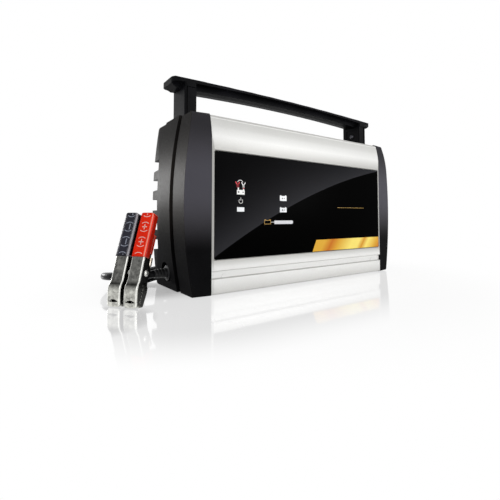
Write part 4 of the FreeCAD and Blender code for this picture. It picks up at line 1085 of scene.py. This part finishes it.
@dataclass
class Case:
    """Front and rear covers, end caps, handle, feet and cable entries. Its sizes are in millimetres."""

    boss_x: float = 124.0
    boss_radius: float = 4.7
    boss_face: float = -50.3
    boss_face_slack: float = 0.02
    boss_height: float = 2.2
    band_meets_boss: float = 174.5
    band_lean: float = 0.1886

    def front_moulding(self) -> bpy.types.Object:
        """The front cover, with the shoulders of its two upper screw bosses level with the leaning band.

        Returns:
            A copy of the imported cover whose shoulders, which stand 0.4 mm proud there, are drawn back.
        """
        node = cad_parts["front_cover"]
        cover = put("front_cover_moulding", node.data.copy())
        cover.data.materials.clear()
        turn = node.matrix_world.copy()
        for corner in cover.data.vertices:
            place = turn @ corner.co
            over = place.z / MM - self.band_meets_boss
            beside = abs(abs(place.x / MM) - self.boss_x) < self.boss_radius
            in_front = abs(place.y / MM - self.boss_face) < self.boss_face_slack
            if beside and in_front and 0.0 < over < self.boss_height:
                place.y += self.band_lean * over * MM
            corner.co = place
        return cover

    def build(self) -> None:
        """Dress every part of the case."""
        silver = SilverPaint("silver_painted_abs")
        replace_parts(settle(self.front_moulding(), silver, Body.CASE), "front_cover")
        # The covers and end caps carry the painted grey sheen at mid-height.
        dress(MouldedPlastic("black_moulded_abs", dull=0.35, sheen_share=0.8),
              "rear_cover", "left_end_cap", "right_end_cap")
        dress(MouldedPlastic("black_handle_abs", colour="#0a0a0c", haze="#17171b", smooth=0.36, rough=0.5),
              "handle")
        dress(DrawnMetal("blackened_screw_steel", colour="#5c5c60", oxide="#2e2e33",
                         stretch=(12.0, 1.0, 1.0)), "handle_screws")
        dress(DrawnMetal("zinc_plated_screw_steel", stretch=(1.0, 12.0, 1.0)), "case_screws")
        dress(MouldedPlastic("black_gloss_nylon", colour="#0d0d10", haze="#19191d", smooth=0.3, rough=0.38,
                             ior=1.45), "dc_gland_ring")
        dress(Rubber("black_moulded_pvc", colour="#08080a", other="#121215", roughness=0.32, ior=1.45),
              "dc_strain_relief")
        dress(Rubber("black_rubber"), "feet", "ac_bushing")


@dataclass
class Label:
    """The printed label in the front cover's recess, with its indicator windows, in millimetres."""

    face_y: float = -52.2
    band_low: float = 37.5
    band_high: float = 52.0
    band_start: float = 1.6
    band_slant: float = 7.1
    band_end: float = 137.4

    def on_face(self, x: float, z: float, out: float) -> Vector:
        """A point on the label's face, out towards the front."""
        return Vector((x, self.face_y - out, z)) * MM

    def build(self) -> None:
        """Dress the label and its windows, and print the inks."""
        dress(OverlayFilm("polycarbonate_label_film"), "label_panel")
        dress(ClearPart("frosted_polycarbonate_window", transmission=0.1), "indicator_lenses")
        for ink, finish in (
                (self.band(), GoldInk("gold_printed_band")),
                (self.white_ink(), ScreenInk("white_screen_ink")),
                (self.red_ink(), ScreenInk("red_screen_ink", colour="#d3182b", other="#b91224")),
                (self.gold_ink(), ScreenInk("gold_screen_ink", colour="#c9a04a", other="#a8833a")),
                (self.silver_ink(), ScreenInk("silver_screen_ink", colour="#d9dade", other="#c2c4c9")),
                (self.dark_ink(), ScreenInk("black_screen_ink", colour="#26262a", other="#3a3a3f"))):
            settle(ink.make(), finish, Body.CASE)

    def band(self) -> Print:
        """The gold band along the lower right, with a slanted left end.

        Returns:
            The shapes in this ink.
        """
        ink = Print("label_gold_band", self.on_face, 0.04)
        ink.plate((self.band_start, self.band_low), (self.band_end, self.band_low),
                  (self.band_end, self.band_high), (self.band_start + self.band_slant, self.band_high))
        return ink

    def white_ink(self) -> Print:
        """Battery under a clamp, the power symbol, and the windows' battery caps.

        Returns:
            The shapes in this ink.
        """
        ink = Print("label_white_symbols", self.on_face)
        ink.box(-110.9, 105.2, -100.9, 110.2)
        ink.box(-109.9, 110.2, -108.3, 112.6)
        ink.box(-103.2, 110.2, -101.4, 111.4)
        ink.stroke(1.1, (-105.0, 118.6), (-103.4, 116.0), (-103.1, 112.9))
        ink.stroke(1.0, (-99.8, 118.6), (-101.6, 116.2), (-101.6, 113.0))
        ink.stroke(1.9, (-102.4, 116.4), (-102.4, 112.9))
        ink.arc((-106.6, 117.2), 3.6, 0.6, 22.0, 136.0)
        ink.arc((-105.9, 98.1), 2.4, 0.5, 130.0, 280.0)
        ink.stroke(0.5, (-105.9, 98.8), (-105.9, 102.0))
        for top in (91.8, 105.8):
            ink.box(-50.6, top, -49.0, top + 0.7)
            ink.box(-43.1, top, -41.5, top + 0.7)
        ink.stroke(0.5, (-64.4, 75.0), (-59.4, 75.0))
        return ink

    def red_ink(self) -> Print:
        """The positive clamp and the positive post of the battery symbol.

        Returns:
            The shapes in this ink.
        """
        ink = Print("label_red_symbols", self.on_face)
        ink.stroke(1.3, (-112.6, 118.8), (-110.6, 116.0), (-110.2, 112.9))
        ink.stroke(1.2, (-107.6, 118.8), (-109.0, 116.0), (-108.8, 112.9))
        ink.stroke(2.0, (-109.6, 116.6), (-109.6, 113.0))
        ink.box(-103.0, 111.6, -101.5, 112.7)
        return ink

    def gold_ink(self) -> Print:
        """A battery outline and a thin rule.

        Returns:
            The shapes in this ink.
        """
        ink = Print("label_gold_lines", self.on_face)
        ink.stroke(0.45, (-73.8, 73.0), (-64.9, 73.0), (-64.9, 77.1), (-73.8, 77.1), (-73.8, 72.7))
        ink.stroke(0.6, (-73.8, 77.8), (-71.8, 77.8))
        ink.stroke(0.6, (-66.9, 77.8), (-64.9, 77.8))
        ink.stroke(0.35, (48.8, 93.4), (104.2, 93.6))
        return ink

    def silver_ink(self) -> Print:
        """The bar beside the battery outline, with a round right end.

        Returns:
            The shapes in this ink.
        """
        ink = Print("label_silver_bar", self.on_face)
        ink.bar(-59.4, 72.8, -30.7, 76.8, 1.9)
        return ink

    def dark_ink(self) -> Print:
        """The dark plus and minus marks of a battery on its two windows and on the symbol.

        Returns:
            The shapes in this ink.
        """
        ink = Print("label_dark_marks", self.on_face, 0.07)
        for middle in (89.1, 102.8):
            ink.stroke(0.8, (-48.2, middle), (-46.4, middle))
            ink.stroke(0.8, (-47.3, middle - 0.9), (-47.3, middle + 0.9))
            ink.stroke(0.8, (-45.4, middle), (-43.6, middle))
        ink.stroke(0.8, (-109.8, 107.9), (-107.6, 107.9))
        ink.stroke(0.8, (-108.7, 106.8), (-108.7, 109.0))
        ink.stroke(0.8, (-103.9, 107.9), (-101.9, 107.9))
        return ink


# Cables


@dataclass
class Cable:
    """The DC cable: from its gland round the clamps' back, into its coil, and on to the splitter.

    Its sizes and places are in metres.
    """

    diameter: float = 0.008
    length: float = 1.284
    gland: Spot = (-0.179, 0.0095, 0.0187)
    coil_center: Point = (-0.055, 0.1145)
    coil_radius: float = 0.050
    coil_pitch: float = 0.0088
    coil_turns: float = 3.5
    coil_rest: float = 0.005
    points_a_turn: int = 12
    run_out: Route = (
        (-0.179, 0.0095, 0.0187), (-0.190, 0.0095, 0.0187), (-0.207, 0.015, 0.018),
        (-0.219, 0.0285, 0.017), (-0.2228, 0.046, 0.0153), (-0.2173, 0.0635, 0.0128),
        (-0.203, 0.081, 0.0092), (-0.1845, 0.099, 0.0054), (-0.165, 0.116, 0.004),
        (-0.1435, 0.1325, 0.004), (-0.1205, 0.1475, 0.004), (-0.0975, 0.1595, 0.0043),
        (-0.0795, 0.1645, 0.005), (-0.063, 0.1645, 0.005))
    run_in: Route = (
        (-0.063, 0.0645, 0.0138), (-0.078, 0.0645, 0.0138), (-0.094, 0.0645, 0.0084),
        (-0.109, 0.0645, 0.005), (-0.122, 0.0645, 0.005))

    def coil_points(self) -> list[Spot]:
        """Points of the coil, clockwise from its far side, drawing in and out again as it climbs.

        Returns:
            The corners that the smooth line runs inside, so they lie a little outside the turns.
        """
        whole = 2 * math.pi * self.coil_turns
        step = 2 * math.pi / self.points_a_turn
        points = []
        for index in range(round(self.coil_turns * self.points_a_turn)):
            angle = (index + 0.5) * step
            inward = self.coil_pitch * min(angle, whole - angle) / (2 * math.pi)
            radius = (self.coil_radius - inward) / math.cos(step / 2)
            climb = max(0.0, min(1.0, (angle - (whole - math.pi) / 2) / math.pi))
            height = self.coil_rest + self.coil_pitch * climb * climb * (3 - 2 * climb)
            points.append((self.coil_center[0] + radius * math.sin(angle),
                           self.coil_center[1] + radius * math.cos(angle), height))
        return points

    def build(self) -> None:
        """Lay the cable, then dress its tie and its splitter."""
        points = [*self.run_out, *self.coil_points(), *self.run_in]
        line = draw_line("charging_cable", Line.SMOOTH, points, self.diameter, roundness=5)
        settle(line, CableJacket("black_pvc_cable_jacket"), Body.CASE)
        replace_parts(line, "dc_cord", "dc_cord_coil", "dc_cord_tail")
        dress(MouldedPlastic("black_nylon_tie", colour="#0f0f11", haze="#1c1c1f", smooth=0.3, rough=0.45),
              "coil_tie")
        dress(Rubber("black_splitter_pvc", colour="#111114", other="#28282c", roughness=0.4),
              "lead_splitter")


# Battery clamps

BLACK_LEAD_ROUTE = (
    (-0.148, 0.068, 0.005), (-0.158, 0.068, 0.005), (-0.1705, 0.0665, 0.0028), (-0.183, 0.0615, 0.0025),
    (-0.1935, 0.0525, 0.0025), (-0.2005, 0.041, 0.0025), (-0.2045, 0.0282, 0.0025),
    (-0.2078, 0.0152, 0.0025), (-0.2109, 0.0029, 0.0025), (-0.2133, -0.0095, 0.0025),
    (-0.2143, -0.0195, 0.010), (-0.2147, -0.0231, 0.022), (-0.2114, -0.0205, 0.0335))
RED_LEAD_ROUTE = (
    (-0.148, 0.061, 0.005), (-0.1575, 0.061, 0.005), (-0.1695, 0.059, 0.0028), (-0.180, 0.0525, 0.0025),
    (-0.187, 0.0415, 0.0025), (-0.1908, 0.0285, 0.0025), (-0.1938, 0.015, 0.0025),
    (-0.197, 0.002, 0.0025), (-0.2002, -0.0108, 0.0025), (-0.2026, -0.0232, 0.0025),
    (-0.2036, -0.0332, 0.010), (-0.204, -0.0368, 0.022), (-0.2007, -0.0342, 0.0335))


@dataclass
class Clamp:
    """One battery clamp: nesting pressed arms, dipped grips, rivet, torsion spring and its lead.

    Its sizes are in millimetres, and those of its lead in metres. Angles are in degrees.
    """

    polarity: Polarity
    base: Spot
    route: Route
    lead_length: float
    grip: Finish
    mark: Finish
    turn: float = -51.9
    lean: float = -20.0
    lead_diameter: float = 0.005
    grip_face: float = -8.1
    grip_lean: float = 0.7 / 43.0
    grip_foot: float = 45.0
    pivot_d: float = 0.5
    pivot_s: float = 31.5
    spring_radius: float = 2.7
    spring_wire: float = 1.2
    spring_pitch: float = 1.75
    spring_turns: float = 3.5
    spring_splay: float = 25.0
    spring_steps: int = 24
    front_leg: float = 7.75
    rear_leg: float = 6.1
    rear_side: float = 3.6
    front_side: float = -2.6
    mark_count: int = 4
    mark_pitch: float = 14.7
    mark_start: float = 44.2
    bar_across: float = 1.0
    bar_reach: float = 2.8
    bar_width: float = 1.0
    plus_reach: float = 2.6
    plus_width: float = 0.9
    plus_to: float = 87.0
    marks_from: float = 46.2
    marks_to: float = 87.2
    arc_radius: float = 6.0
    arc_offset: float = 1.4
    arc_width: float = 0.7
    arc_turn: float = 76.0
    arc_starts: Point = (52.0, 232.0)

    def local(self, across: float, depth: float, up: float) -> Vector:
        """A point of the clamp in the model's frame.

        Args:
            across: Millimetres to the clamp's right.
            depth: Millimetres from the clamp's middle towards its back.
            up: Millimetres up from its tip.

        Returns:
            The point in metres.
        """
        turning = Matrix.Rotation(math.radians(self.turn), 3, "Z")
        leaning = Matrix.Rotation(math.radians(self.lean), 3, "X")
        return (turning @ leaning @ Vector((across, depth, up)) + Vector(self.base)) * MM

    def on_grip(self, across: float, up: float, out: float) -> Vector:
        """A point on the front grip's outer face, which leans in a little towards its top."""
        return self.local(across, self.grip_face + self.grip_lean * (up - self.grip_foot) - out, up)

    def build(self) -> None:
        """Dress the clamp's parts, print its grip, wind its spring and lay its lead."""
        colour = self.polarity.value
        parts = [f"{colour}_clamp_{part}" for part in
                 ("front_arm", "rear_arm", "front_sleeve", "rear_sleeve", "rivet", "lug")]
        dress(ZincPlatedSteel("zinc_plated_pressed_steel"), *parts[:2])
        dress(self.grip, *parts[2:4])
        dress(DrawnMetal("upset_rivet_steel", colour="#c4c4c0", oxide="#85857f"), parts[4])
        dress(DrawnMetal("tinned_copper", colour="#b6aea2", oxide="#8c7f6e"), parts[5])
        marks = settle(self.marks().make(), self.mark, self.polarity.body)
        spring = self.spring()
        lead = draw_line(f"{colour}_lead_wire", Line.SMOOTH, self.route, self.lead_diameter,
                         roundness=5)
        settle(lead, CableJacket("black_pvc_lead_jacket"), Body.CASE)
        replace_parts(lead, f"{colour}_lead")

    def marks(self) -> Print:
        """The repeated polarity mark: a plus or a bar between two arcs, cut off at the grip's two ends.

        Returns:
            The marks in the grip's ink.
        """
        ink = Print(f"{self.polarity.value}_grip_marks", self.on_grip, 0.06)
        last = self.mark_count - 1
        arc = (self.arc_radius, self.arc_width)
        for index in range(self.mark_count):
            up = self.mark_start + self.mark_pitch * index
            if index < last:
                ink.arc((0.0, up - self.arc_offset), *arc, self.arc_starts[0], self.arc_turn)
            if index > 0:
                ink.arc((0.0, up + self.arc_offset), *arc, self.arc_starts[1], self.arc_turn)
            if self.polarity is Polarity.NEGATIVE:
                low = max(up - self.bar_reach, self.marks_from)
                high = min(up + self.bar_reach, self.marks_to)
                if high > low:
                    ink.stroke(self.bar_width, (self.bar_across, low), (self.bar_across, high))
            elif index > 0:
                top = min(up + self.plus_reach, self.plus_to)
                ink.stroke(self.plus_width, (0.0, up - self.plus_reach), (0.0, top))
                if index < last:
                    ink.stroke(self.plus_width, (-self.plus_reach, up), (self.plus_reach, up))
        return ink

    def spring(self) -> bpy.types.Object:
        """Wind the torsion spring round the rivet, with a leg that bears on each arm.

        Returns:
            A fixed mesh of the spring in the model's frame.
        """
        splay = math.radians(self.spring_splay)
        last = 2 * math.pi * self.spring_turns - splay
        steps = int(self.spring_turns * self.spring_steps)
        line = []
        for index in range(steps + 1):
            angle = splay + (last - splay) * index / steps
            line.append((self.spring_pitch * (angle / (2 * math.pi) - self.spring_turns / 2),
                         self.pivot_d - self.spring_radius * math.cos(angle),
                         self.pivot_s - self.spring_radius * math.sin(angle)))
        first, end = line[0], line[-1]
        run = (math.sin(splay), math.cos(splay))
        line.insert(0, (first[0], first[1] - run[0] * self.front_leg, first[2] + run[1] * self.front_leg))
        line.append((end[0], end[1] + run[0] * self.rear_leg, end[2] + run[1] * self.rear_leg))
        name = f"{self.polarity.value}_torsion_spring"
        drawn = draw_line(name + "_line", Line.STRAIGHT, [self.local(*point) for point in line],
                          self.spring_wire * MM, roundness=3)
        bpy.context.view_layer.update()
        wire = DrawnMetal("drawn_spring_steel", colour="#8f8f8c", oxide="#5e5e5c", stretch=(1.0, 1.0, 1.0))
        mesh = bpy.data.meshes.new_from_object(drawn.evaluated_get(bpy.context.evaluated_depsgraph_get()))
        bpy.data.objects.remove(drawn)
        mesh.materials.clear()
        mesh.materials.append(wire.build())
        for face in mesh.polygons:
            face.use_smooth = True
        piece = put(name, mesh)
        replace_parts(piece, f"{self.polarity.value}_clamp_spring")
        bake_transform(piece)
        LOG.info("made %s", name)
        return piece


# Parts inside the case


@dataclass
class Electronics:
    """The charging circuit on its boards, inside the case."""

    sleeve_end: float = 0.0006

    def build(self) -> None:
        """Dress every inner part. A can's sleeve ends a little below its top."""
        dress(DrawnMetal("zinc_plated_sheet_steel", colour="#a9abab", oxide="#7f8280", smooth=0.3,
                         rough=0.5), "base_tray", "board_screws")
        dress(CircuitBoard("glass_fibre_board"), "main_board")
        dress(CircuitBoard("glass_fibre_display_board", turn=(math.radians(90), 0.0, 0.0)),
              "display_board")
        dress(DrawnMetal("turned_brass", colour="#c8a24e", oxide="#8f6d2c"),
              "board_standoffs", "fuse_clips", "output_terminals")
        dress(Layered("varnished_core_steel"), "transformer_core")
        dress(Layered("taped_copper_winding", colour="#c9a227", gap="#7a5e14", pitch_mm=4.0,
                      direction=(0.0, 0.0, 1.0), metallic=0.0, roughness=0.35, relief_mm=0.05),
              "transformer_coil")
        dress(Layered("enamelled_copper_wire", colour="#b4622a", gap="#4a2410", pitch_mm=1.2,
                      direction=(0.7, 0.0, 0.7), metallic=0.8, roughness=0.3), "input_choke")
        dress(Layered("grey_ribbon_cable", colour="#8c8d91", gap="#5f6064", pitch_mm=1.27,
                      direction=(1.0, 0.0, 0.0), metallic=0.0, roughness=0.5), "ribbon_cable")
        for node, name, sleeve in (("bulk_capacitors", "bulk_can_sleeve", "#101d33"),
                                   ("output_capacitors", "output_can_sleeve", "#1d1d20")):
            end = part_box(node)[1].z - self.sleeve_end
            dress(CapacitorSleeve(name, sleeve=sleeve, top_z=end), node)
        dress(DrawnMetal("extruded_aluminium", colour="#c3c5c7", oxide="#9fa2a4"),
              "primary_heat_sink", "secondary_heat_sink")
        dress(MouldedPlastic("moulded_epoxy", colour="#121213", haze="#1d1d1f", grain_mm=1.0, rough=0.6),
              "power_transistors", "rectifier_diodes", "controller_chip")
        dress(MouldedPlastic("black_pbt", colour="#1a1b1d", haze="#26282b", smooth=0.3, rough=0.42),
              "polarity_relay")
        dress(ClearPart("borosilicate_glass", transmission=0.9, roughness=0.08, ior=1.47), "line_fuse")
        dress(ClearPart("diffused_lamp_epoxy", colour="#dfe3e0", other="#c3cac6", transmission=0.5),
              "indicator_leds")


# Floor, light and camera


@dataclass
class Studio:
    """A pale floor under soft light, seen as in the photograph.

    Each box of light has a name, its place, what it faces, its width and height, and its power.
    """

    camera_place: Spot = (-0.31194, -0.36391, 0.08117)
    camera_yaw: float = 34.99
    camera_pitch: float = 2.63
    camera_lens: float = 24.93
    camera_shift: float = -0.0982
    sensor_width: float = 36.0
    floor_size: float = 8.0
    floor_cells: int = 8
    ambient: float = 0.5
    boxes: tuple[tuple[str, Spot, Spot, float, float, float], ...] = (
        ("overhead", (0.45, -0.3, 1.5), (0.0, 0.0, 0.05), 1.3, 1.3, 4.0),
        ("left_box", (-1.3, -0.9, 0.6), (0.0, 0.0, 0.1), 0.8, 0.8, 2.6),
        ("front_box", (0.72, -1.15, 0.4), (0.05, 0.0, 0.08), 0.6, 0.6, 7.3),
        ("side_box", (-0.72, 1.25, 0.3), (-0.15, 0.05, 0.1), 0.6, 0.3, 4.8))

    def build(self) -> None:
        """Set the camera, the floor, the lamps and the world."""
        self.camera()
        self.floor()
        self.lamps()
        self.world()
        bpy.context.scene.view_settings.view_transform = "Standard"

    def camera(self) -> None:
        """Put the camera where the photograph was taken from."""
        data = bpy.data.cameras.new("camera")
        data.lens = self.camera_lens
        data.sensor_width = self.sensor_width
        data.shift_y = self.camera_shift
        data.clip_start = 0.01
        view = put("camera", data)
        view.location = self.camera_place
        view.rotation_euler = (math.radians(90 + self.camera_pitch), 0.0, math.radians(-self.camera_yaw))
        bpy.context.scene.camera = view

    def floor(self) -> None:
        """Lay a smooth white sheet that takes a soft reflection and the object's shadow."""
        mesh = bpy.data.meshes.new("floor")
        build = bmesh.new()
        bmesh.ops.create_grid(build, x_segments=self.floor_cells, y_segments=self.floor_cells,
                              size=self.floor_size)
        build.to_mesh(mesh)
        build.free()
        mesh.materials.append(AcrylicSheet("white_acrylic_sheet").build())
        put("floor", mesh)

    def lamps(self) -> None:
        """Hang soft boxes overhead, at the left, at the front's right, and low behind the left end."""
        for name, place, target, width, height, power in self.boxes:
            data = bpy.data.lights.new(name, "AREA")
            data.shape = "RECTANGLE"
            data.size = width
            data.size_y = height
            data.energy = power
            lamp = put(name, data)
            lamp.location = place
            lamp.rotation_euler = (Vector(target) - Vector(place)).to_track_quat("-Z", "Y").to_euler()

    def world(self) -> None:
        """Light everything evenly, and show plain white behind the object and in what it reflects."""
        world = bpy.data.worlds.new("studio")
        bpy.context.scene.world = world
        world.use_nodes = True
        add = partial(add_node, world.node_tree)
        nodes = world.node_tree.nodes
        soft = nodes["Background"]
        feed(soft, WHITE, self.ambient)
        seen = add("Background", WHITE, 1.0)
        mixed = add("MixShader", seen_directly(add), soft, seen)
        feed(nodes["World Output"], {"Surface": mixed})


def main() -> None:
    """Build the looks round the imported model."""
    logging.basicConfig(level=logging.INFO, format="%(name)s: %(message)s")
    Studio().build()
    Cable().build()
    # Each grip carries painted shade on its flanks and a painted highlight along one edge.
    Clamp(Polarity.NEGATIVE, (-230.3, -35.3, 0.0), BLACK_LEAD_ROUTE, 0.1515,
          DippedVinyl("black_dipped_vinyl", colour="#2e2e38", deep="#22222a", flank_shade_tone="#09090b",
                      pale_edge_highlight="#cfcdd2", round_mm=4.2, highlight_turn=(0.4, 0.34, 0.1)),
          ScreenInk("pale_grey_screen_ink", colour="#9298a6", other="#767b88")).build()
    Clamp(Polarity.POSITIVE, (-219.564, -48.993, 0.0), RED_LEAD_ROUTE, 0.1496,
          DippedVinyl("red_dipped_vinyl"),
          ScreenInk("pale_pink_screen_ink", colour="#f3c3bb", other="#e8a59a")).build()
    Case().build()
    Label().build()
    Electronics().build()


if __name__ == "__main__":
    main()
